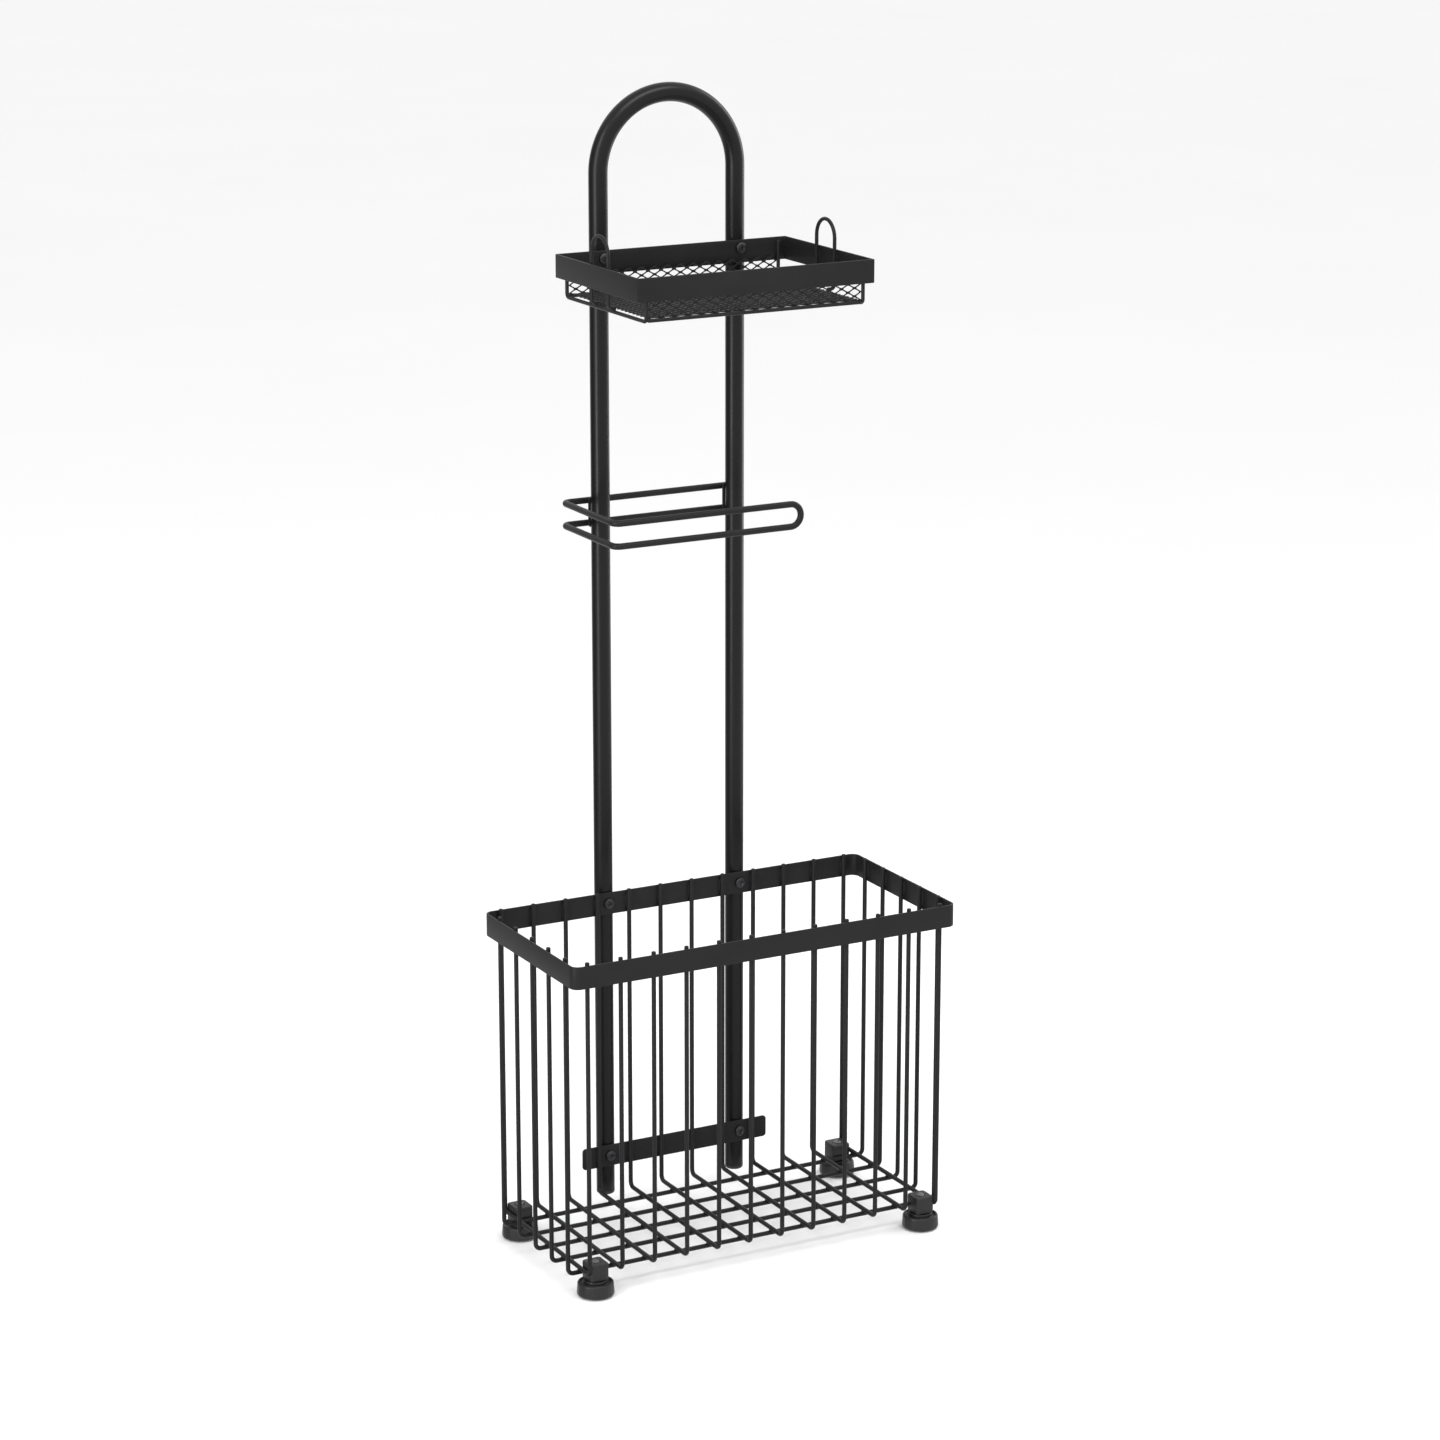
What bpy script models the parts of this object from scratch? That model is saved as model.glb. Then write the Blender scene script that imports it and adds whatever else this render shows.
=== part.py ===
"""Free-standing toilet paper holder: arched tube stand, mesh shelf, roll arm, wire basket, screw feet.

Metres, +Z up. X runs along the width and is symmetric, -Y is the front. The origin is the middle of
the footprint on the floor. Depths are first measured back from the outer face of the basket's front
band, and at_depth() turns them into Y.
"""

import math

import bmesh
import bpy
from mathutils import Matrix, Vector

# ---------------------------------------------------------------- clearances and stock
GAP = 0.0003                 # air kept between neighbouring pieces
BAND_HEIGHT = 0.0160         # flat bar of both rims and of the tie bar
BAND_THICKNESS = 0.0015
BASKET_WIRE = 0.0032         # diameters of the four wire stocks
SHELF_WIRE = 0.0026
ARM_WIRE = 0.0045
POST_DIAMETER = 0.0132
POST_WALL = 0.0010

# ---------------------------------------------------------------- basket
BASKET_WIDTH = 0.3000
BASKET_DEPTH = 0.1414
BASKET_TOP = 0.2420
BASKET_CORNER = 0.0063
WIRE_RISE = 0.0015           # how far the wire ends stand above the rim
WIRE_BEND = 0.0040
CROSS_WIRES = 12             # front, floor, back
CROSS_PITCH = 0.0251
CROSS_FLOOR = 0.0184         # centreline height of the cross wires' floor run
LONG_WIRES = 5               # left, floor, right, one wire lower
LONG_PITCH = 0.0255
TIE_BAR_LENGTH = 0.1500
TIE_BAR_BOTTOM = 0.0360

# ---------------------------------------------------------------- stand
POST_SPACING = 0.1056        # between the two post axes
POST_BOTTOM = 0.0160
STAND_TOP = 0.8090

# ---------------------------------------------------------------- shelf
SHELF_WIDTH = 0.1785
SHELF_FRONT = 0.0184         # depth of the shelf's front face
SHELF_TOP = 0.6988
SHELF_BOTTOM = 0.6680
SHELF_CORNER = 0.0012
MESH_THICKNESS = 0.0010
MESH_TOP = 0.6862
MESH_BEND = 0.0022
SHELF_WIRE_BEND = 0.0030
EDGE_WIRE_RISE = 0.0007      # edge wires lie this much higher than the end wires' lower runs
END_WIRE_DROP = 0.0020       # end wires stop this far below the rim's top
END_WIRE_SPACING = 0.1636    # between the axes of the two end wires
LOOP_WIDTH = 0.0246
LOOP_TOP = 0.7185
LOOP_TOE = 0.0806            # where the turned-in loop ends stop, from the centre plane

# ---------------------------------------------------------------- roll arm
ARM_HEIGHT = 0.5146          # middle of the double wire
ARM_WIRE_SPACING = 0.0159
ARM_LEFT = -0.0760
ARM_TIP = 0.0680
ARM_BACK_END = 0.0610
ARM_FRONT = 0.0803           # depth of the front run
ARM_BEND = 0.0050
PLATE_WIDTH = 0.0110
PLATE_HEIGHT = 0.0210
PLATE_THICKNESS = 0.0015

# ---------------------------------------------------------------- feet
FOOT_X = 0.1300
FOOT_INSET = 0.0109          # depth of the front feet, and the same in front of the back face
FOOT_RADIUS = 0.01305
FOOT_TOP_RADIUS = 0.0126
FOOT_HEIGHT = 0.0100
COLLAR_RADIUS = 0.0083
COLLAR_TOP = 0.0117
BLOCK_BOTTOM = 0.0122
BLOCK_TOP = 0.0244
BLOCK_WIDTH = 0.0142
BLOCK_DEPTH = 0.0150
BLOCK_CORNER = 0.0024
STUD_RADIUS = 0.0030
STUD_TOP = 0.0252
STUD_BOTTOM = 0.0036
PAD_RADIUS = 0.0100
PAD_THICKNESS = 0.0018
PAD_EDGE = 0.0004
FOOT_EDGE = 0.0004           # first and last steps of the rounded edges of a foot's base
FOOT_SHOULDER = 0.0016
FOOT_CHAMFER = 0.0010
COLLAR_EDGE = 0.0005
BASE_CLEARANCE = 0.0006      # air between a foot's base and the floor
BLOCK_CROWN = 0.0010
STUD_TIP = 0.0010

# ---------------------------------------------------------------- screws
SCREW_HEAD_RADIUS = 0.00375
SCREW_HEAD = 0.0022
SCREW_RADIUS = 0.0020
SCREW_LENGTH = 0.0080
HOLE_RADIUS = 0.0024
SCREW_TIP = 0.0006           # chamfer of a screw's tip
SHELF_SCREW_DROP = 0.0055    # from the shelf rim's top to its screws' axes
CUT_MARGIN = 0.0040          # how far a cutter goes past the face that it cuts
HOLE_START = 0.0020          # a post's screw holes start this far from its axis

# ---------------------------------------------------------------- post plugs
PLUG_LENGTH = 0.0080         # the part inside the post
PLUG_LEAD = 0.0012
PLUG_FLANGE = 0.0030         # the part that shows under the post
PLUG_EDGE = 0.0012

# ---------------------------------------------------------------- worked-out places
POST_DEPTH = BASKET_DEPTH + GAP + POST_DIAMETER / 2
POST_X = POST_SPACING / 2
ARM_BACK = POST_DEPTH + POST_DIAMETER / 2 + GAP + PLATE_THICKNESS + GAP + ARM_WIRE / 2
WIRE_INSET = BAND_THICKNESS + GAP + BASKET_WIRE / 2
SHELF_INSET = BAND_THICKNESS + GAP + SHELF_WIRE / 2
SHELF_DEPTH = BASKET_DEPTH - SHELF_FRONT
MESH_FLOOR = SHELF_BOTTOM + SHELF_WIRE + GAP + MESH_THICKNESS / 2
FRONT_Y = -(ARM_BACK + ARM_WIRE / 2 + FOOT_INSET - FOOT_RADIUS) / 2

# ---------------------------------------------------------------- finishes: colour, roughness, metallic
BLACK_PAINT = ((0.022, 0.022, 0.023), 0.42, 0.0)
BLACK_TUBE = ((0.026, 0.026, 0.027), 0.34, 0.0)
BLACK_PLASTIC = ((0.018, 0.018, 0.018), 0.50, 0.0)
RUBBER = ((0.012, 0.012, 0.012), 0.85, 0.0)
BLACK_SCREW = ((0.030, 0.030, 0.032), 0.38, 0.6)
ZINC = ((0.55, 0.55, 0.56), 0.30, 1.0)


def at_depth(depth):
    """Y of a depth measured back from the basket's front face."""
    return FRONT_Y + depth


# ---------------------------------------------------------------- scene and small helpers
def clear_scene():
    """Remove every object and every left-over collection."""
    for obj in list(bpy.data.objects):
        bpy.data.objects.remove(obj, do_unlink=True)
    for collection in list(bpy.data.collections):
        bpy.data.collections.remove(collection)


def new_collection(name):
    """Make a collection in the scene."""
    collection = bpy.data.collections.new(name)
    bpy.context.scene.collection.children.link(collection)
    return collection


def new_finish(name, finish):
    """Make a Principled material from a colour, a roughness and a metallic value."""
    colour, roughness, metallic = finish
    material = bpy.data.materials.new(name + "_finish")
    material.use_nodes = True
    shader = material.node_tree.nodes["Principled BSDF"]
    shader.inputs["Base Color"].default_value = (*colour, 1.0)
    shader.inputs["Roughness"].default_value = roughness
    shader.inputs["Metallic"].default_value = metallic
    return material


class Model:
    """The collections and the empty that every piece hangs on."""

    def __init__(self, name):
        self.parts = new_collection(name)
        self.cutters = new_collection(name + "_cutters")
        self.root = self.add_empty(name + "_root", (0.0, 0.0, 0.0), None)

    def add_empty(self, name, location, parent):
        """Add an empty that pieces can be parented to."""
        empty = bpy.data.objects.new(name, None)
        empty.empty_display_size = 0.02
        empty.location = location
        empty.parent = parent
        self.parts.objects.link(empty)
        return empty

    def add(self, name, data, finish, location=(0.0, 0.0, 0.0), parent=None):
        """Add a piece at a place relative to its parent, with a finish of its own."""
        obj = bpy.data.objects.new(name, data)
        obj.location = location
        obj.parent = parent or self.root
        self.parts.objects.link(obj)
        if not data.materials:
            data.materials.append(new_finish(name, finish))
        return obj

    def cut(self, obj, mesh, name):
        """Cut a mesh, given in the piece's own coordinates, out of a piece."""
        cutter = bpy.data.objects.new(name, mesh)
        cutter.parent = obj
        cutter.hide_render = True
        cutter.display_type = "WIRE"
        self.cutters.objects.link(cutter)
        modifier = obj.modifiers.new("cut_" + name, "BOOLEAN")
        modifier.operation = "DIFFERENCE"
        modifier.solver = "EXACT"
        modifier.object = cutter


def filleted(points, radius, steps):
    """Round the inner corners of an open polyline with arcs of one radius."""
    points = [Vector(p) for p in points]
    path = [points[0]]
    for before, corner, after in zip(points, points[1:], points[2:]):
        into = (before - corner).normalized()
        out = (after - corner).normalized()
        half_angle = into.angle(out) / 2
        reach = radius / math.tan(half_angle)
        centre = corner + (into + out).normalized() * (radius / math.sin(half_angle))
        start = (corner + into * reach - centre).normalized()
        end = (corner + out * reach - centre).normalized()
        for step in range(steps + 1):
            path.append(centre + start.slerp(end, step / steps) * radius)
    path.append(points[-1])
    return path


def arc_points(centre, radius, start_deg, end_deg, steps, across, up):
    """Points on an arc in the plane of two unit vectors, without its last point."""
    points = []
    for step in range(steps):
        angle = math.radians(start_deg + (end_deg - start_deg) * step / steps)
        points.append(centre + across * (radius * math.cos(angle)) + up * (radius * math.sin(angle)))
    return points


def wire_curve(name, points, diameter, sides_setting=2, capped=True):
    """A round wire or tube along a polyline."""
    curve = bpy.data.curves.new(name, "CURVE")
    curve.dimensions = "3D"
    curve.bevel_depth = diameter / 2
    curve.bevel_resolution = sides_setting
    curve.use_fill_caps = capped
    spline = curve.splines.new("POLY")
    spline.points.add(len(points) - 1)
    for spline_point, point in zip(spline.points, points):
        spline_point.co = (*point, 1.0)
    return curve


def mesh_of_curve(curve):
    """The mesh that a curve draws, with its caps joined on."""
    holder = bpy.data.objects.new(curve.name, curve)
    bpy.context.scene.collection.objects.link(holder)
    evaluated = holder.evaluated_get(bpy.context.evaluated_depsgraph_get())
    mesh = bpy.data.meshes.new_from_object(evaluated)
    mesh.name = curve.name
    bpy.data.objects.remove(holder)
    bpy.data.curves.remove(curve)
    form = bmesh.new()
    form.from_mesh(mesh)
    bmesh.ops.remove_doubles(form, verts=form.verts, dist=0.00001)
    form.to_mesh(mesh)
    form.free()
    return mesh


def rectangle_loop(half_x, half_y, corner, steps):
    """Corner points of a rectangle with round corners, counter-clockwise."""
    points = []
    for turn, (side_x, side_y) in enumerate(((1, 1), (-1, 1), (-1, -1), (1, -1))):
        centre = Vector((side_x * (half_x - corner), side_y * (half_y - corner), 0.0))
        points += arc_points(centre, corner, turn * 90, (turn + 1) * 90, steps, Vector((1, 0, 0)),
                             Vector((0, 1, 0)))
        points.append(centre + corner * Vector((math.cos((turn + 1) * math.pi / 2),
                                                math.sin((turn + 1) * math.pi / 2), 0.0)))
    return points


def flat_curve(name, loops, thickness):
    """A flat plate or ring: closed outlines, filled, and extruded both ways from Z = 0."""
    curve = bpy.data.curves.new(name, "CURVE")
    curve.dimensions = "2D"
    curve.fill_mode = "BOTH"
    curve.extrude = thickness / 2
    for loop in loops:
        spline = curve.splines.new("POLY")
        spline.points.add(len(loop) - 1)
        spline.use_cyclic_u = True
        for spline_point, point in zip(spline.points, loop):
            spline_point.co = (point[0], point[1], 0.0, 1.0)
    return curve


def rim_mesh(name, width, depth, corner, steps):
    """A closed flat-bar ring that stands on its narrow side, centred on its own middle."""
    outer = rectangle_loop(width / 2, depth / 2, corner, steps)
    inner = rectangle_loop(width / 2 - BAND_THICKNESS, depth / 2 - BAND_THICKNESS,
                           max(corner - BAND_THICKNESS, 0.0004), steps)
    return mesh_of_curve(flat_curve(name, (outer, inner), BAND_HEIGHT))


def box_mesh(name, size):
    """A box centred on its own middle."""
    mesh = bpy.data.meshes.new(name)
    form = bmesh.new()
    bmesh.ops.create_cube(form, size=1.0)
    bmesh.ops.scale(form, vec=size, verts=form.verts)
    form.to_mesh(mesh)
    form.free()
    return mesh


def rod_mesh(name, radius, start, end, sides=20):
    """A straight round rod between two points."""
    start = Vector(start)
    axis = Vector(end) - start
    turn = axis.to_track_quat("Z", "Y").to_matrix().to_4x4()
    mesh = bpy.data.meshes.new(name)
    form = bmesh.new()
    bmesh.ops.create_cone(form, cap_ends=True, segments=sides, radius1=radius, radius2=radius,
                          depth=axis.length, matrix=Matrix.Translation(start + axis / 2) @ turn)
    form.to_mesh(mesh)
    form.free()
    return mesh


def turned_mesh(name, profile):
    """An outline of radius and height, as a chain of edges; a bored one is a closed chain."""
    mesh = bpy.data.meshes.new(name)
    closed = all(radius > 0 for radius, _ in profile)
    count = len(profile)
    edges = [(i, (i + 1) % count) for i in range(count if closed else count - 1)]
    mesh.from_pydata([(radius, 0.0, height) for radius, height in profile], edges, [])
    return mesh


def turn_profile(obj, steps):
    """Turn a piece's outline about its own Z axis."""
    screw = obj.modifiers.new("turn", "SCREW")
    screw.steps = steps
    screw.render_steps = steps
    screw.use_merge_vertices = True
    screw.merge_threshold = 0.00001
    screw.use_smooth_shade = True


# ---------------------------------------------------------------- wire paths
def cross_wire_path():
    """Down the front, across the floor and up the back, in the plane X = 0."""
    front = at_depth(WIRE_INSET)
    back = at_depth(BASKET_DEPTH - WIRE_INSET)
    top = BASKET_TOP + WIRE_RISE
    corners = [(0, front, top), (0, front, CROSS_FLOOR), (0, back, CROSS_FLOOR), (0, back, top)]
    return filleted(corners, WIRE_BEND, 3)


def long_wire_path():
    """Down the left side, along the floor and up the right side, in the plane Y = 0."""
    side = BASKET_WIDTH / 2 - WIRE_INSET
    floor = CROSS_FLOOR - BASKET_WIRE - GAP
    top = BASKET_TOP + WIRE_RISE
    return filleted([(-side, 0, top), (-side, 0, floor), (side, 0, floor), (side, 0, top)], WIRE_BEND, 3)


def cross_wire_x(index):
    """X of a cross wire, counted from the left."""
    return (index - (CROSS_WIRES - 1) / 2) * CROSS_PITCH


def long_wire_y(index):
    """Y of a long wire, counted from the front."""
    return at_depth(BASKET_DEPTH / 2) + (index - (LONG_WIRES - 1) / 2) * LONG_PITCH


# ---------------------------------------------------------------- sub-parts
def add_stand(model):
    """The bent tube: two posts joined by the round arch, with a plug in each lower end."""
    radius = POST_X
    crown = STAND_TOP - POST_DIAMETER / 2 - radius
    path = [Vector((-POST_X, 0, POST_BOTTOM))]
    path += arc_points(Vector((0, 0, crown)), radius, 180, 0, 20, Vector((1, 0, 0)), Vector((0, 0, 1)))
    path += [Vector((POST_X, 0, crown)), Vector((POST_X, 0, POST_BOTTOM))]
    skin = mesh_of_curve(wire_curve("stand_tube", path, POST_DIAMETER, 4, capped=False))
    stand = model.add("stand_tube", skin, BLACK_TUBE, (0, at_depth(POST_DEPTH), 0))
    wall = stand.modifiers.new("wall", "SOLIDIFY")
    wall.thickness = POST_WALL
    wall.offset = -1.0
    for side, sign in (("left", -1), ("right", 1)):
        for label, height, front in screw_rows():
            direction = -1 if front else 1
            hole = rod_mesh("post_hole", HOLE_RADIUS, (sign * POST_X, direction * HOLE_START, height),
                            (sign * POST_X, direction * (POST_DIAMETER / 2 + CUT_MARGIN), height))
            model.cut(stand, hole, f"{label}_hole_{side}")
        add_plug(model, f"post_plug_{side}", sign * POST_X)
    return stand


def add_plug(model, name, x):
    """A push-in plastic plug that closes a post's lower end."""
    bore = POST_DIAMETER / 2 - POST_WALL - GAP
    rim = POST_DIAMETER / 2
    profile = [(0.0, PLUG_LENGTH), (bore - PLUG_LEAD * 0.7, PLUG_LENGTH), (bore, PLUG_LENGTH - PLUG_LEAD),
               (bore, -GAP), (rim, -GAP), (rim, PLUG_EDGE - PLUG_FLANGE),
               (rim - PLUG_EDGE, -PLUG_FLANGE), (0.0, -PLUG_FLANGE)]
    plug = model.add(name, turned_mesh(name, profile), BLACK_PLASTIC,
                     (x, at_depth(POST_DEPTH), POST_BOTTOM))
    turn_profile(plug, 16)


def screw_rows():
    """The rows of fixing screws: label, height, and whether they enter the posts from the front."""
    return (("basket_rim", BASKET_TOP - BAND_HEIGHT / 2, True),
            ("basket_tie", TIE_BAR_BOTTOM + BAND_HEIGHT / 2, True),
            ("shelf", SHELF_TOP - SHELF_SCREW_DROP, True),
            ("arm", ARM_HEIGHT, False))


def add_screws(model):
    """One pan-head screw for each post in each row; a screw's own Z points out of its head."""
    head = SCREW_HEAD_RADIUS
    profile = [(0.0, SCREW_HEAD), (head * 0.5, SCREW_HEAD), (head * 0.86, SCREW_HEAD * 0.72),
               (head, SCREW_HEAD * 0.3), (head, 0.0), (SCREW_RADIUS, 0.0),
               (SCREW_RADIUS, SCREW_TIP - SCREW_LENGTH), (SCREW_RADIUS - SCREW_TIP, -SCREW_LENGTH),
               (0.0, -SCREW_LENGTH)]
    front_seat = at_depth(BASKET_DEPTH - BAND_THICKNESS - GAP)
    back_seat = at_depth(POST_DEPTH + POST_DIAMETER / 2 + 2 * GAP + PLATE_THICKNESS)
    for label, height, front in screw_rows():
        for side, sign in (("left", -1), ("right", 1)):
            name = f"{label}_screw_{side}"
            place = (sign * POST_X, front_seat if front else back_seat, height)
            screw = model.add(name, turned_mesh(name, profile), BLACK_SCREW, place)
            screw.rotation_euler = (math.pi / 2 if front else -math.pi / 2, 0.0, 0.0)
            turn_profile(screw, 12)


def cut_band_holes(model, band, label, height):
    """Clearance holes for one row of screws through a band whose own Y axis is the frame's."""
    for side, sign in (("left", -1), ("right", 1)):
        back = at_depth(BASKET_DEPTH) - band.location.y
        level = height - band.location.z
        hole = rod_mesh("band_hole", HOLE_RADIUS, (sign * POST_X, back - BAND_THICKNESS - CUT_MARGIN, level),
                        (sign * POST_X, back + CUT_MARGIN, level))
        model.cut(band, hole, f"{label}_band_hole_{side}")


def add_basket(model):
    """The rim, the twelve cross wires, the five long wires below them, and the tie bar."""
    rim = model.add("basket_rim", rim_mesh("basket_rim", BASKET_WIDTH, BASKET_DEPTH, BASKET_CORNER, 6),
                    BLACK_PAINT, (0, at_depth(BASKET_DEPTH / 2), BASKET_TOP - BAND_HEIGHT / 2))
    cut_band_holes(model, rim, "basket_rim", BASKET_TOP - BAND_HEIGHT / 2)
    cross = wire_curve("basket_cross_wire", cross_wire_path(), BASKET_WIRE)
    for index in range(CROSS_WIRES):
        model.add(f"basket_cross_wire_{index + 1:02d}", cross, BLACK_PAINT, (cross_wire_x(index), 0, 0))
    long = wire_curve("basket_long_wire", long_wire_path(), BASKET_WIRE)
    for index in range(LONG_WIRES):
        model.add(f"basket_long_wire_{index + 1}", long, BLACK_PAINT, (0, long_wire_y(index), 0))
    bar_mesh = box_mesh("basket_tie_bar", (TIE_BAR_LENGTH, BAND_THICKNESS, BAND_HEIGHT))
    bar = model.add("basket_tie_bar", bar_mesh, BLACK_PAINT,
                    (0, at_depth(BASKET_DEPTH - BAND_THICKNESS / 2), TIE_BAR_BOTTOM + BAND_HEIGHT / 2))
    cut_band_holes(model, bar, "basket_tie", TIE_BAR_BOTTOM + BAND_HEIGHT / 2)


def add_shelf(model):
    """The rim, the U of mesh, its end wires and edge wires, and a guard loop on each short side."""
    centre = at_depth(SHELF_FRONT + SHELF_DEPTH / 2)
    rim = model.add("shelf_rim", rim_mesh("shelf_rim", SHELF_WIDTH, SHELF_DEPTH, SHELF_CORNER, 2),
                    BLACK_PAINT, (0, centre, SHELF_TOP - BAND_HEIGHT / 2))
    cut_band_holes(model, rim, "shelf", SHELF_TOP - SHELF_SCREW_DROP)
    reach = SHELF_DEPTH / 2 - SHELF_INSET
    add_shelf_mesh(model, centre, reach)
    rail = SHELF_BOTTOM + SHELF_WIRE / 2
    end_x = END_WIRE_SPACING / 2
    end_top = SHELF_TOP - END_WIRE_DROP
    end_path = filleted([(0, -reach, end_top), (0, -reach, rail), (0, reach, rail), (0, reach, end_top)],
                        SHELF_WIRE_BEND, 4)
    end = wire_curve("shelf_end_wire", end_path, SHELF_WIRE)
    edge_half = end_x - SHELF_WIRE / 2 - GAP
    edge = wire_curve("shelf_edge_wire", [(-edge_half, 0, 0), (edge_half, 0, 0)], SHELF_WIRE)
    for side, sign in (("left", -1), ("right", 1)):
        model.add(f"shelf_end_wire_{side}", end, BLACK_PAINT, (sign * end_x, centre, 0))
        add_guard_loop(model, f"shelf_loop_{side}", sign, centre)
    for side, sign in (("front", -1), ("back", 1)):
        model.add(f"shelf_edge_wire_{side}", edge, BLACK_PAINT,
                  (0, centre + sign * reach, rail + EDGE_WIRE_RISE))


def add_shelf_mesh(model, centre, reach):
    """The sheet bent into a front wall, a floor and a back wall, between the wires that hold it."""
    half = END_WIRE_SPACING / 2 - SHELF_WIRE / 2 - GAP
    profile = filleted([(-half, -reach, MESH_TOP), (-half, -reach, MESH_FLOOR), (-half, reach, MESH_FLOOR),
                        (-half, reach, MESH_TOP)], MESH_BEND, 3)
    form = bmesh.new()
    left = [form.verts.new(point) for point in profile]
    edges = [form.edges.new(pair) for pair in zip(left, left[1:])]
    swept = bmesh.ops.extrude_edge_only(form, edges=edges)["geom"]
    right = [item for item in swept if isinstance(item, bmesh.types.BMVert)]
    bmesh.ops.translate(form, vec=(2 * half, 0, 0), verts=right)
    bmesh.ops.recalc_face_normals(form, faces=form.faces)
    sheet = bpy.data.meshes.new("shelf_mesh")
    form.to_mesh(sheet)
    form.free()
    panel = model.add("shelf_mesh", sheet, BLACK_PAINT, (0, centre, 0))
    thickness = panel.modifiers.new("thickness", "SOLIDIFY")
    thickness.thickness = MESH_THICKNESS
    thickness.offset = 0.0


def add_guard_loop(model, name, sign, centre):
    """A hairpin wire inside the rim whose two ends turn in over the end wire."""
    x = SHELF_WIDTH / 2 - SHELF_INSET
    half = LOOP_WIDTH / 2
    toe = SHELF_BOTTOM + SHELF_WIRE + GAP + SHELF_WIRE / 2
    spring = LOOP_TOP - half
    front_leg = filleted([(LOOP_TOE, -half, toe), (x, -half, toe), (x, -half, spring)], SHELF_WIRE_BEND,
                         3)[:-1]
    crown = arc_points(Vector((x, 0, spring)), half, 180, 0, 12, Vector((0, 1, 0)), Vector((0, 0, 1)))
    back_leg = [Vector((p.x, -p.y, p.z)) for p in reversed(front_leg)]
    path = front_leg + crown + [Vector((x, half, spring))] + back_leg
    path = [Vector((sign * p.x, p.y, p.z)) for p in path]
    model.add(name, wire_curve(name, path, SHELF_WIRE), BLACK_PAINT, (0, centre, 0))


def add_roll_arm(model):
    """The open hook of double wire, joined by a hairpin at its tip, and its two mounting plates."""
    half = ARM_WIRE_SPACING / 2
    corners = [(ARM_BACK_END, at_depth(ARM_BACK), half), (ARM_LEFT, at_depth(ARM_BACK), half),
               (ARM_LEFT, at_depth(ARM_FRONT), half), (ARM_TIP - half, at_depth(ARM_FRONT), half)]
    upper = filleted(corners, ARM_BEND, 4)
    tip = Vector((ARM_TIP - half, at_depth(ARM_FRONT), 0))
    hairpin = arc_points(tip, half, 90, -90, 8, Vector((1, 0, 0)), Vector((0, 0, 1)))
    lower = [Vector((p.x, p.y, -p.z)) for p in reversed(upper)]
    path = upper[:-1] + hairpin + lower
    model.add("roll_arm", wire_curve("roll_arm", path, ARM_WIRE), BLACK_PAINT, (0, 0, ARM_HEIGHT))
    plate_y = at_depth(POST_DEPTH + POST_DIAMETER / 2 + GAP + PLATE_THICKNESS / 2)
    for side, sign in (("left", -1), ("right", 1)):
        name = f"arm_plate_{side}"
        plate = model.add(name, box_mesh(name, (PLATE_WIDTH, PLATE_THICKNESS, PLATE_HEIGHT)), BLACK_PAINT,
                          (sign * POST_X, plate_y, ARM_HEIGHT))
        model.cut(plate, rod_mesh("plate_hole", HOLE_RADIUS, (0, -CUT_MARGIN, 0), (0, CUT_MARGIN, 0)),
                  f"plate_hole_{side}")


def foot_block_mesh(name):
    """The clip block: a box with round upright edges and a crowned top, centred on the stud's axis."""
    mesh = bpy.data.meshes.new(name)
    height = BLOCK_TOP - BLOCK_BOTTOM
    form = bmesh.new()
    bmesh.ops.create_cube(form, size=1.0)
    bmesh.ops.scale(form, vec=(BLOCK_WIDTH, BLOCK_DEPTH, height), verts=form.verts)
    bmesh.ops.translate(form, vec=(0, 0, BLOCK_BOTTOM + height / 2), verts=form.verts)
    upright = [e for e in form.edges if abs(e.verts[0].co.z - e.verts[1].co.z) > height / 2]
    bmesh.ops.bevel(form, geom=upright, offset=BLOCK_CORNER, segments=4, profile=0.5, affect="EDGES")
    top = [e for e in form.edges if min(v.co.z for v in e.verts) > BLOCK_TOP - 0.00001]
    bmesh.ops.bevel(form, geom=top, offset=BLOCK_CROWN, segments=2, profile=0.5, affect="EDGES")
    form.to_mesh(mesh)
    form.free()
    return mesh


def add_foot_block(model, name, x, y, cross_x, long_y):
    """A plastic block that clips into the corner of two floor wires and carries the stud."""
    block = model.add(name, foot_block_mesh(name), BLACK_PLASTIC, (x, y, 0))
    clearance = BASKET_WIRE + 2 * GAP
    cross = mesh_of_curve(wire_curve("cross_channel", cross_wire_path(), clearance, 4))
    cross.transform(Matrix.Translation((cross_x - x, -y, 0)))
    long = mesh_of_curve(wire_curve("long_channel", long_wire_path(), clearance, 4))
    long.transform(Matrix.Translation((-x, long_y - y, 0)))
    bore = rod_mesh("stud_bore", STUD_RADIUS + GAP, (0, 0, BLOCK_BOTTOM - CUT_MARGIN),
                    (0, 0, BLOCK_TOP + CUT_MARGIN))
    for label, cutter in (("cross_channel", cross), ("long_channel", long), ("stud_bore", bore)):
        model.cut(block, cutter, f"{name}_{label}")


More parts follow.
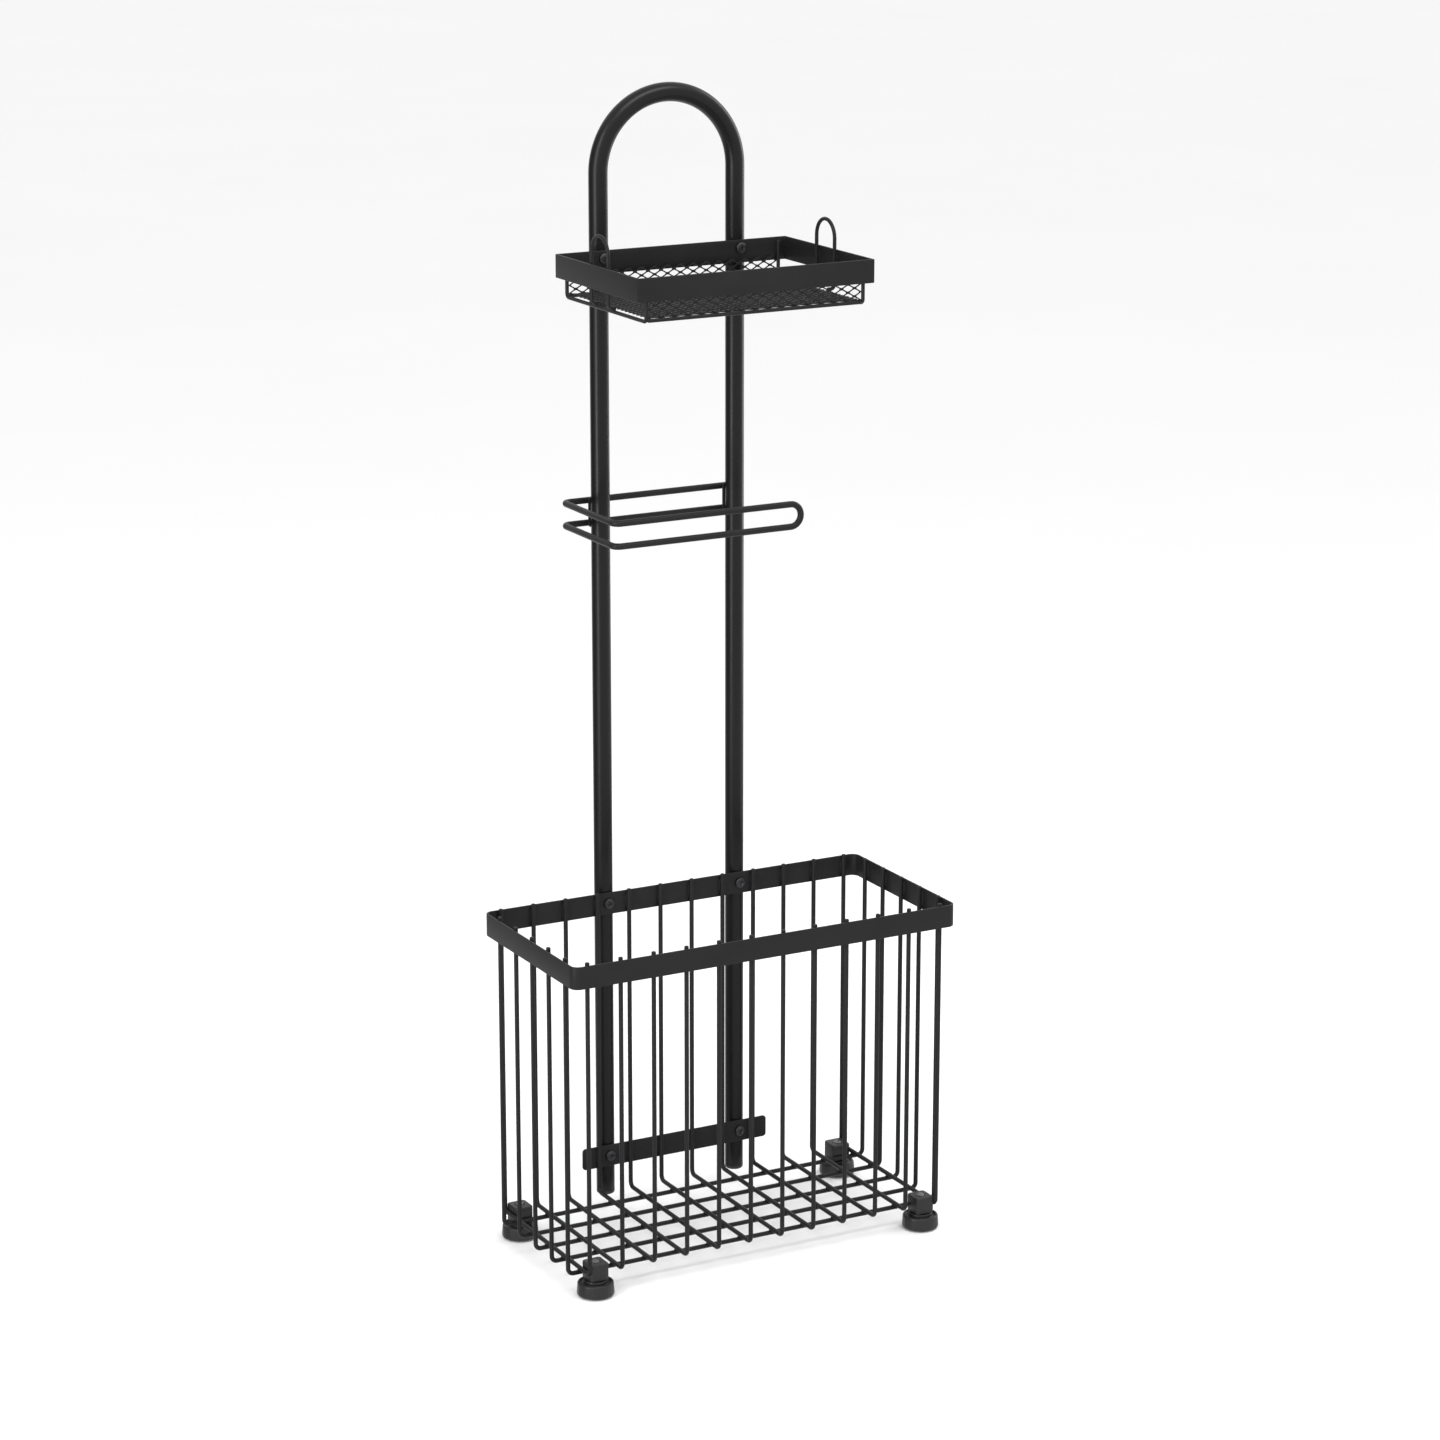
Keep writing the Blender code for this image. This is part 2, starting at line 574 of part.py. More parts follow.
def add_feet(model):
    """Four screw feet: a fixed block, and a turning base with its stud over a rubber pad."""
    for row, y, long_index in (("front", at_depth(FOOT_INSET), 0),
                               ("back", at_depth(BASKET_DEPTH - FOOT_INSET), LONG_WIRES - 1)):
        for side, sign, cross_index in (("left", -1, 0), ("right", 1, CROSS_WIRES - 1)):
            place = f"{row}_{side}"
            x = sign * FOOT_X
            add_foot_block(model, f"foot_block_{place}", x, y, cross_wire_x(cross_index),
                           long_wire_y(long_index))
            axis = model.add_empty(f"foot_axis_{place}", (x, y, 0), model.root)
            add_foot_base(model, f"foot_base_{place}", axis)
            add_stud(model, f"foot_stud_{place}", axis)
            pad = model.add(f"foot_pad_{place}", turned_mesh("foot_pad", foot_pad_profile()), RUBBER,
                            (0, 0, 0), axis)
            turn_profile(pad, 24)


def foot_pad_profile():
    """The rubber disc that stands on the floor."""
    return [(0.0, PAD_THICKNESS), (PAD_RADIUS, PAD_THICKNESS), (PAD_RADIUS, PAD_EDGE),
            (PAD_RADIUS - PAD_EDGE, 0.0), (0.0, 0.0)]


def add_foot_base(model, name, axis):
    """The round hand grip with its raised collar, a bore for the stud and a seat for the pad."""
    bore = STUD_RADIUS + GAP
    seat = PAD_RADIUS + GAP
    roof = PAD_THICKNESS + GAP
    profile = [(bore, COLLAR_TOP), (COLLAR_RADIUS - COLLAR_EDGE, COLLAR_TOP),
               (COLLAR_RADIUS, COLLAR_TOP - COLLAR_EDGE), (COLLAR_RADIUS, FOOT_HEIGHT - FOOT_EDGE),
               (FOOT_TOP_RADIUS - FOOT_SHOULDER, FOOT_HEIGHT),
               (FOOT_TOP_RADIUS - FOOT_EDGE, FOOT_HEIGHT - FOOT_EDGE),
               (FOOT_TOP_RADIUS, FOOT_HEIGHT - FOOT_EDGE - FOOT_CHAMFER),
               (FOOT_RADIUS, BASE_CLEARANCE + FOOT_CHAMFER), (FOOT_RADIUS - FOOT_CHAMFER, BASE_CLEARANCE),
               (seat, BASE_CLEARANCE), (seat, roof), (bore, roof)]
    base = model.add(name, turned_mesh(name, profile), BLACK_PLASTIC, (0, 0, 0), axis)
    turn_profile(base, 24)


def add_stud(model, name, axis):
    """The threaded stud, drawn at its outer diameter, with a rounded upper end."""
    profile = [(0.0, STUD_TOP), (STUD_RADIUS - STUD_TIP, STUD_TOP - STUD_TIP * 0.1),
               (STUD_RADIUS, STUD_TOP - STUD_TIP), (STUD_RADIUS, STUD_BOTTOM), (0.0, STUD_BOTTOM)]
    stud = model.add(name, turned_mesh(name, profile), ZINC, (0, 0, 0), axis)
    turn_profile(stud, 12)


def main():
    """Build the whole holder."""
    clear_scene()
    model = Model("toilet_paper_holder")
    add_stand(model)
    add_basket(model)
    add_shelf(model)
    add_roll_arm(model)
    add_screws(model)
    add_feet(model)


main()
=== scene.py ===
"""Free-standing toilet paper holder: the finished pieces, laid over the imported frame.

Laid out as an add-on: settings, one operator for each piece or group of like pieces, and a panel.
Metres, +Z up, -Y is the front.
"""

import math
import random

import bmesh
import bpy
from bpy.props import FloatProperty, FloatVectorProperty, IntProperty, PointerProperty
from mathutils import Matrix, Vector


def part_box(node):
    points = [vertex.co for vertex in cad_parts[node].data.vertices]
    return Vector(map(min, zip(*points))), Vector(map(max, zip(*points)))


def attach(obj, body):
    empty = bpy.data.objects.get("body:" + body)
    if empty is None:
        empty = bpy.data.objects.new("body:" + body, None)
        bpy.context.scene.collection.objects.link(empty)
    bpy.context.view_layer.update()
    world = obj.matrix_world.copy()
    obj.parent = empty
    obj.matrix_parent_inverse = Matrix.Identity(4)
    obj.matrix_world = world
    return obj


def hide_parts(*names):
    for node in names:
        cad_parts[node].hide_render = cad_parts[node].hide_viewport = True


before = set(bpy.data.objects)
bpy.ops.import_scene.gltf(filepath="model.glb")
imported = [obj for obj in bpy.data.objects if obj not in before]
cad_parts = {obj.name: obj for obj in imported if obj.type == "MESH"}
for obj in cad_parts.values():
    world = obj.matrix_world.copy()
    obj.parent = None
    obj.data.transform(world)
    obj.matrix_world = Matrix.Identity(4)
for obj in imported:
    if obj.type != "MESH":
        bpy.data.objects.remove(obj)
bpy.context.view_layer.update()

bl_info = {
    "name": "Toilet Paper Holder",
    "version": (1, 0, 0),
    "blender": (4, 5, 0),
    "location": "3D View > Sidebar > Holder",
    "description": "Builds a free-standing toilet paper holder with shelf, roll arm and wire basket",
    "category": "Add Mesh",
}

MM = 0.001
STAND = "stand"
ROWS = ("front", "back")
SIDES = ("left", "right")
X_AXIS = Vector((1.0, 0.0, 0.0))
Y_AXIS = Vector((0.0, 1.0, 0.0))
Z_AXIS = Vector((0.0, 0.0, 1.0))


# ---------------------------------------------------------------- sizes read off the frame
def low(node):
    """The lowest corner of a CAD node."""
    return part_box(node)[0]


def high(node):
    """The highest corner of a CAD node."""
    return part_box(node)[1]


def middle(node):
    """The middle of a CAD node's box."""
    return (low(node) + high(node)) / 2


def extent(node):
    """Width, depth and height of a CAD node's box."""
    return high(node) - low(node)


def numbered(stem, count, digits):
    """Names of a row of like nodes."""
    return [f"{stem}_{index + 1:0{digits}d}" for index in range(count)]


CROSS_WIRES = numbered("basket_cross_wire", 12, 2)
LONG_WIRES = numbered("basket_long_wire", 5, 1)
PLACES = [f"{row}_{side}" for row in ROWS for side in SIDES]
PAINT = "band_and_wire_paint"
GAP = 0.3 * MM  # clearance between pieces that are welded or slide together
BASKET_WIRE = extent(CROSS_WIRES[0]).x
SHELF_WIRE = extent("shelf_end_wire_left").x
ARM_WIRE = high("roll_arm").y - high("arm_plate_left").y - GAP
TUBE = extent("stand_tube").y
TUBE_WALL = 1.0 * MM
BAR = 1.5 * MM  # thickness of the flat bar in both rims
HEAD_HEIGHT = 2.2 * MM  # height of a screw's pan head
SCREW_HOLE = 2.4 * MM  # radius of the holes that the screws pass through
STUD_HOLE = 3.3 * MM  # radius of the holes that the studs pass through
PAD_RECESS = 10.3 * MM  # radius of the seat that a rubber pad is pressed into
SCREW_ROWS = {
    "basket_rim": ("basket_rim_screw", -1),
    "basket_tie": ("basket_tie_screw", -1),
    "shelf": ("shelf_screw", -1),
    "arm": ("arm_screw", 1),
}


# ---------------------------------------------------------------- settings
class HolderSizes(bpy.types.PropertyGroup):
    """Sizes of the details that the frame leaves open."""

    wire_sides: IntProperty(
        name="Wire sides", description="Facets round a wire", default=20, min=8, max=48)
    tube_sides: IntProperty(
        name="Tube sides", description="Facets round the tube", default=56, min=16, max=96)
    wire_bend: FloatProperty(
        name="Basket bend", description="Centreline radius of the basket wires' bends",
        default=4.0 * MM, min=2.5 * MM, max=8.0 * MM, unit="LENGTH")
    shelf_bend: FloatProperty(
        name="Shelf bend", description="Centreline radius of the shelf wires' bends",
        default=3.0 * MM, min=2.0 * MM, max=6.0 * MM, unit="LENGTH")
    arm_bend: FloatProperty(
        name="Arm bend", description="Centreline radius of the roll arm's bends",
        default=5.0 * MM, min=4.0 * MM, max=9.0 * MM, unit="LENGTH")
    wire_end: FloatProperty(
        name="Wire end rounding", description="Edge radius of a coated wire end",
        default=0.7 * MM, min=0.1 * MM, max=1.2 * MM, unit="LENGTH")
    band_edge: FloatProperty(
        name="Band edge", description="Edge radius of the flat bar", default=0.42 * MM,
        min=0.1 * MM, max=0.7 * MM, unit="LENGTH")
    basket_corner: FloatProperty(
        name="Basket corner", description="Outer corner radius of the basket rim",
        default=6.3 * MM, min=3.0 * MM, max=12.0 * MM, unit="LENGTH")
    shelf_corner: FloatProperty(
        name="Shelf corner", description="Outer corner radius of the mitred shelf rim",
        default=1.2 * MM, min=0.5 * MM, max=4.0 * MM, unit="LENGTH")
    mitre_groove: FloatProperty(
        name="Mitre groove", description="Depth of the seam at each shelf corner",
        default=0.16 * MM, min=0.0, max=0.4 * MM, unit="LENGTH")
    diamond_length: FloatProperty(
        name="Diamond length", description="Long way of one diamond of the shelf mesh",
        default=10.0 * MM, min=5.0 * MM, max=20.0 * MM, unit="LENGTH")
    diamond_height: FloatProperty(
        name="Diamond height", description="Short way of one diamond of the shelf mesh",
        default=5.8 * MM, min=3.0 * MM, max=12.0 * MM, unit="LENGTH")
    strand: FloatProperty(
        name="Strand width", description="Width of the strands between the diamonds",
        default=1.15 * MM, min=0.5 * MM, max=2.5 * MM, unit="LENGTH")
    strand_tilt: FloatProperty(
        name="Strand tilt", description="How far the strands lean out of the sheet",
        default=0.14 * MM, min=0.0, max=0.6 * MM, unit="LENGTH")
    strand_thickness: FloatProperty(
        name="Strand thickness", description="Thickness of the shelf mesh's strands",
        default=0.80 * MM, min=0.4 * MM, max=1.2 * MM, unit="LENGTH")
    facets: IntProperty(
        name="Grip facets", description="Flats round a foot's grip", default=24, min=8, max=48)
    foot_pitch: FloatProperty(
        name="Foot thread pitch", description="Rise of a foot for one turn",
        default=1.25 * MM, min=0.5 * MM, max=2.0 * MM, unit="LENGTH")
    screw_pitch: FloatProperty(
        name="Screw thread pitch", description="Pitch of the fixing screws",
        default=0.7 * MM, min=0.4 * MM, max=1.5 * MM, unit="LENGTH")


class HolderColours(bpy.types.PropertyGroup):
    """Colours and glosses of the finishes."""

    paint: FloatVectorProperty(
        name="Band and wire paint", description="Satin coat on the bands, wires and mesh",
        default=(0.0125, 0.0125, 0.0129), min=0.0, max=1.0, subtype="COLOR")
    paint_worn: FloatVectorProperty(
        name="Paint on edges", description="The same coat where handling has polished it",
        default=(0.024, 0.024, 0.025), min=0.0, max=1.0, subtype="COLOR")
    tube: FloatVectorProperty(
        name="Tube paint", description="Smoother coat on the bent tube",
        default=(0.0034, 0.0034, 0.0035), min=0.0, max=1.0, subtype="COLOR")
    plastic: FloatVectorProperty(
        name="Moulded plastic", description="Feet and plugs",
        default=(0.0080, 0.0080, 0.0082), min=0.0, max=1.0, subtype="COLOR")
    rubber: FloatVectorProperty(
        name="Rubber", description="Pads under the feet", default=(0.0100, 0.0100, 0.0100),
        min=0.0, max=1.0, subtype="COLOR")
    screw: FloatVectorProperty(
        name="Screw black", description="Black plated screws", default=(0.045, 0.045, 0.048),
        min=0.0, max=1.0, subtype="COLOR")
    zinc: FloatVectorProperty(
        name="Stud zinc", description="Dark zinc of the feet's studs", default=(0.16, 0.16, 0.165),
        min=0.0, max=1.0, subtype="COLOR")
    paint_gloss: FloatProperty(
        name="Paint roughness", description="Roughness of the satin coat", default=0.40,
        min=0.05, max=1.0, subtype="FACTOR")
    tube_gloss: FloatProperty(
        name="Tube roughness", description="Roughness of the tube's coat", default=0.30,
        min=0.05, max=1.0, subtype="FACTOR")
    peel: FloatProperty(
        name="Orange peel", description="Depth of the coat's fine waviness",
        default=0.012 * MM, min=0.0, max=0.1 * MM, unit="LENGTH", precision=6)


class HolderStage(bpy.types.PropertyGroup):
    """Floor, light and camera."""

    floor_colour: FloatVectorProperty(
        name="Floor", description="Pale matt floor", default=(0.92, 0.92, 0.92),
        min=0.0, max=1.0, subtype="COLOR")
    sky: FloatProperty(
        name="Sky", description="Strength of the even light all round", default=1.02, min=0.0, max=3.0)
    dark_side: FloatProperty(
        name="Dark side", description="How much of the even light is taken away behind on the left",
        default=0.72, min=0.0, max=1.0, subtype="FACTOR")
    key: FloatProperty(
        name="Key light", description="Power of the large light at the front left",
        default=12.0, min=0.0, max=500.0, unit="POWER")
    fill: FloatProperty(
        name="Fill light", description="Power of the light at the right",
        default=9.0, min=0.0, max=500.0, unit="POWER")
    top: FloatProperty(
        name="Top light", description="Power of the light overhead", default=18.0, min=0.0, max=500.0,
        unit="POWER")
    bearing: FloatProperty(
        name="Camera bearing", description="How far the camera stands round to the left",
        default=math.radians(28.34), subtype="ANGLE", unit="ROTATION")
    elevation: FloatProperty(
        name="Camera elevation", description="How far the camera looks down",
        default=math.radians(15.04), subtype="ANGLE", unit="ROTATION")
    distance: FloatProperty(
        name="Camera distance", description="From the camera to the point it looks at",
        default=2.836, min=0.5, max=10.0, unit="LENGTH")
    aim_height: FloatProperty(
        name="Aim height", description="Height of the point the camera looks at",
        default=0.378, min=0.0, max=1.0, unit="LENGTH")
    aim_depth: FloatProperty(
        name="Aim depth", description="How far behind the origin that point is",
        default=-0.0078, min=-0.2, max=0.2, unit="LENGTH")
    lens: FloatProperty(
        name="Lens", description="Focal length in millimetres", default=102.6, min=20.0, max=300.0)


def sizes():
    """The size settings of the scene."""
    return bpy.context.scene.holder_sizes


def colours():
    """The colour settings of the scene."""
    return bpy.context.scene.holder_colours


# ---------------------------------------------------------------- shaping
class Form:
    """Collects closed shapes as points and faces, and makes one piece of them."""

    def __init__(self):
        self.points = []
        self.faces = []

    def add_rings(self, rings, capped=True, closed=False):
        """Skin a row of rings of equal length; closed joins the last ring to the first."""
        start = len(self.points)
        count = len(rings[0])
        for ring in rings:
            self.points.extend(ring)
        last = len(rings) if closed else len(rings) - 1
        for row in range(last):
            here = start + row * count
            there = start + ((row + 1) % len(rings)) * count
            for i in range(count):
                j = (i + 1) % count
                self.faces.append((here + i, here + j, there + j, there + i))
        if capped and not closed:
            self.faces.append(tuple(start + i for i in reversed(range(count))))
            self.faces.append(tuple(start + (len(rings) - 1) * count + i for i in range(count)))

    def mesh(self, name, smooth_angle=38.0):
        """The collected shapes as a mesh with outward normals."""
        mesh = bpy.data.meshes.new(name)
        mesh.from_pydata([tuple(point) for point in self.points], [], self.faces)
        return settled(mesh, smooth_angle)


def settled(mesh, smooth_angle=38.0):
    """Outward normals, smooth shading, and sharp edges where faces meet at more than an angle."""
    form = bmesh.new()
    form.from_mesh(mesh)
    bmesh.ops.recalc_face_normals(form, faces=form.faces)
    form.to_mesh(mesh)
    form.free()
    mesh.polygons.foreach_set("use_smooth", [True] * len(mesh.polygons))
    mesh.set_sharp_from_angle(angle=math.radians(smooth_angle))
    return mesh


def circle(centre, across, up, radius, sides):
    """A ring of points round a centre."""
    ring = []
    for i in range(sides):
        angle = 2 * math.pi * i / sides
        ring.append(centre + across * (radius * math.cos(angle)) + up * (radius * math.sin(angle)))
    return ring


def filleted(corners, radius, steps):
    """A polyline with its inner corners rounded to one radius."""
    corners = [Vector(corner) for corner in corners]
    path = [corners[0]]
    for before, corner, after in zip(corners, corners[1:], corners[2:]):
        into = (before - corner).normalized()
        out = (after - corner).normalized()
        half_angle = into.angle(out) / 2
        reach = radius / math.tan(half_angle)
        centre = corner + (into + out).normalized() * (radius / math.sin(half_angle))
        start = (corner + into * reach - centre).normalized()
        end = (corner + out * reach - centre).normalized()
        path += [centre + start.slerp(end, step / steps) * radius for step in range(steps + 1)]
    path.append(corners[-1])
    return path


def arc(centre, radius, start_deg, end_deg, steps, across, up):
    """Points on an arc in the plane of two unit vectors, both ends included."""
    points = []
    for step in range(steps + 1):
        angle = math.radians(start_deg + (end_deg - start_deg) * step / steps)
        points.append(centre + across * (radius * math.cos(angle)) + up * (radius * math.sin(angle)))
    return points


def directions(path):
    """The direction of a path at each of its points."""
    result = []
    for i in range(len(path)):
        before = path[max(i - 1, 0)]
        after = path[min(i + 1, len(path) - 1)]
        into = (path[i] - before).normalized()
        out = (after - path[i]).normalized()
        result.append((into + out).normalized())
    return result


def carried_sides(headings):
    """A side direction at each point of a path, carried along it without twist."""
    first = headings[0]
    side = first.cross(Z_AXIS if abs(first.z) < 0.9 else X_AXIS).normalized()
    sides = [side]
    for before, after in zip(headings, headings[1:]):
        side = before.rotation_difference(after) @ side
        side = (side - after * side.dot(after)).normalized()
        sides.append(side)
    return sides


def add_wire(form, path, diameter, sides, end):
    """A round wire along a path, with softly rounded cut ends."""
    headings = directions(path)
    across = carried_sides(headings)
    radius = diameter / 2
    quarter = [(end * (1 - math.sin(t)), radius - end * (1 - math.cos(t)))
               for t in (math.pi / 2, math.pi / 3, math.pi / 6, 0.0)]
    stations = [(path[0] + headings[0] * step, 0, size) for step, size in quarter]
    stations += [(point, i, radius) for i, point in enumerate(path[1:-1], 1)]
    last = len(path) - 1
    stations += [(path[-1] - headings[-1] * step, last, size) for step, size in reversed(quarter)]
    rings = []
    for point, i, size in stations:
        rings.append(circle(point, across[i], headings[i].cross(across[i]), size, sides))
    form.add_rings(rings)


def quarter_steps(radius, steps):
    """(inset, drop) pairs of a rounded edge, from its end face to its side."""
    pairs = []
    for step in range(steps + 1):
        angle = math.pi / 2 * step / steps
        pairs.append((radius * (1 - math.sin(angle)), radius * (1 - math.cos(angle))))
    return pairs


def rounded_loop(half_x, half_y, corner, steps, height, groove=0.0):
    """A rectangle with round corners at one height; groove sinks the middle of each corner."""
    points = []
    for turn, (side_x, side_y) in enumerate(((1, 1), (-1, 1), (-1, -1), (1, -1))):
        centre = Vector((side_x * (half_x - corner), side_y * (half_y - corner), height))
        for step in range(steps + 1):
            angle = (turn + step / steps) * math.pi / 2
            radius = corner - (groove if 2 * step == steps else 0.0)
            points.append(centre + radius * Vector((math.cos(angle), math.sin(angle), 0.0)))
    return points


def add_rounded_box(form, centre, size, corner, edge, corner_steps=6, edge_steps=3, top_edge=None):
    """A box whose upright edges are rounded by corner and whose rims are rounded by edge."""
    half = Vector(size) / 2
    top_edge = edge if top_edge is None else top_edge
    levels = [(inset, -half.z + drop) for inset, drop in quarter_steps(edge, edge_steps)]
    levels += [(inset, half.z - drop) for inset, drop in reversed(quarter_steps(top_edge, edge_steps))]
    rings = []
    for inset, height in levels:
        loop = rounded_loop(half.x - inset, half.y - inset, max(corner - inset, 0.05 * MM),
                            corner_steps, height)
        rings.append([centre + point for point in loop])
    form.add_rings(rings)


def add_rim(form, node, thickness, corner, edge, steps, groove=0.0):
    """A flat-bar ring that stands on its narrow side in the box of a CAD node."""
    centre = middle(node)
    half = extent(node) / 2
    rounding = quarter_steps(edge, 3)
    section = []
    for inner, upper in ((False, True), (True, True), (True, False), (False, False)):
        for inset, drop in rounding if inner == upper else reversed(rounding):
            depth = thickness - inset if inner else inset
            section.append((depth, half.z - drop if upper else drop - half.z))
    loops = []
    for inset, height in section:
        outer = inset < thickness / 2
        loop = rounded_loop(half.x - inset, half.y - inset, max(corner - inset, 0.35 * MM), steps, height,
                            groove if outer else 0.0)
        loops.append([centre + point for point in loop])
    form.add_rings(loops, closed=True)


def add_turned(form, centre, axis, profile, steps, radius_at=None):
    """A turned shape: (radius, height) pairs, closed on itself or ending on the axis."""
    across = axis.cross(Y_AXIS if abs(axis.y) < 0.9 else X_AXIS).normalized()
    up = axis.cross(across)
    on_axis = profile[0][0] == 0.0
    rings = []
    for radius, height in profile[1:-1] if on_axis else profile:
        ring = []
        for i in range(steps):
            angle = 2 * math.pi * i / steps
            size = radius_at(radius, height, angle) if radius_at else radius
            ring.append(centre + axis * height + across * (size * math.cos(angle))
                        + up * (size * math.sin(angle)))
        rings.append(ring)
    form.add_rings(rings, closed=not on_axis)


def add_thread(form, centre, axis, radius, depth, pitch, start, end, sides=28, tip=0.5 * MM):
    """A right-handed threaded rod between two heights on an axis, with narrowed ends."""
    across = axis.cross(Y_AXIS if abs(axis.y) < 0.9 else X_AXIS).normalized()
    up = axis.cross(across)
    rows = max(12, int((end - start) / pitch * 8))
    flank, land, taper = 2.6, 0.15, 0.28
    rings = []
    for row in range(rows + 1):
        height = start + (end - start) * row / rows
        near_end = min(height - start, end - height)
        narrowing = max(0.0, 1.0 - near_end / tip)
        ring = []
        for i in range(sides):
            angle = 2 * math.pi * i / sides
            phase = (height / pitch - i / sides) % 1.0
            groove = min(1.0, max(0.0, flank * abs(phase - 0.5) - land))
            size = radius - depth * groove - radius * taper * narrowing ** 2
            ring.append(centre + axis * height + across * (size * math.cos(angle))
                        + up * (size * math.sin(angle)))
        rings.append(ring)
    form.add_rings(rings)


def put(name, mesh, slot, body=STAND, node=None):
    """Make a piece of a mesh: it has its slot's finish, rides on a body and stands for a CAD node."""
    piece = bpy.data.objects.new(name, mesh)
    bpy.context.scene.collection.objects.link(piece)
    mesh.materials.clear()
    mesh.materials.append(finish_of(slot))
    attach(piece, body)
    if node:
        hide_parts(node)


def carved(mesh, cutters, smooth_angle=38.0):
    """A mesh with closed cutter meshes taken out of it."""
    body = bpy.data.objects.new("carving", mesh)
    bpy.context.scene.collection.objects.link(body)
    tools = []
    for cutter in cutters:
        tool = bpy.data.objects.new("tool", cutter)
        bpy.context.scene.collection.objects.link(tool)
        modifier = body.modifiers.new("cut", "BOOLEAN")
        modifier.operation = "DIFFERENCE"
        modifier.solver = "EXACT"
        modifier.object = tool
        tools.append(tool)
    evaluated = body.evaluated_get(bpy.context.evaluated_depsgraph_get())
    result = bpy.data.meshes.new_from_object(evaluated)
    result.name = mesh.name
    for helper in [body, *tools]:
        bpy.data.objects.remove(helper)
    return settled(result, smooth_angle)


def rod_mesh(start, end, radius, sides=24):
    """A plain closed rod, used as a cutter."""
    start, end = Vector(start), Vector(end)
    axis = (end - start).normalized()
    across = axis.cross(Z_AXIS if abs(axis.z) < 0.9 else X_AXIS).normalized()
    form = Form()
    form.add_rings([circle(point, across, axis.cross(across), radius, sides) for point in (start, end)])
    return form.mesh("cutter")


def moved(mesh, matrix):
    """A mesh put through a matrix."""
    mesh.transform(matrix)
    return mesh


def joined(name, meshes, smooth_angle):
    """Several meshes as one."""
    form = bmesh.new()
    for mesh in meshes:
        form.from_mesh(mesh)
    result = bpy.data.meshes.new(name)
    form.to_mesh(result)
    form.free()
    return settled(result, smooth_angle)


def hole_cutter(centre, reach):
    """The cutter for a screw hole, from front to back through a point."""
    return rod_mesh(centre - Y_AXIS * reach, centre + Y_AXIS * reach, SCREW_HOLE)


def hole_cutters(label):
    """Cutters for one row's two screw holes."""
    stem = SCREW_ROWS[label][0]
    return [hole_cutter(middle(f"{stem}_{side}"), 6.0 * MM) for side in SIDES]


def plate_mesh(node, corner):
    """A flat plate with round corners, upright in the box of a CAD node and facing front."""
    size = extent(node)
    form = Form()
    add_rounded_box(form, Vector(), (size.x, size.z, size.y), corner, sizes().band_edge, 8)
    return moved(form.mesh(node), Matrix.Translation(middle(node)) @ Matrix.Rotation(math.pi / 2, 4, "X"))


def put_wire(node, path, diameter, sides, end):
    """Make a coated wire along a path, for a CAD node of the stand."""
    form = Form()
    add_wire(form, path, diameter, sides, end)
    put(f"coated_{node}", form.mesh(node), PAINT, node=node)


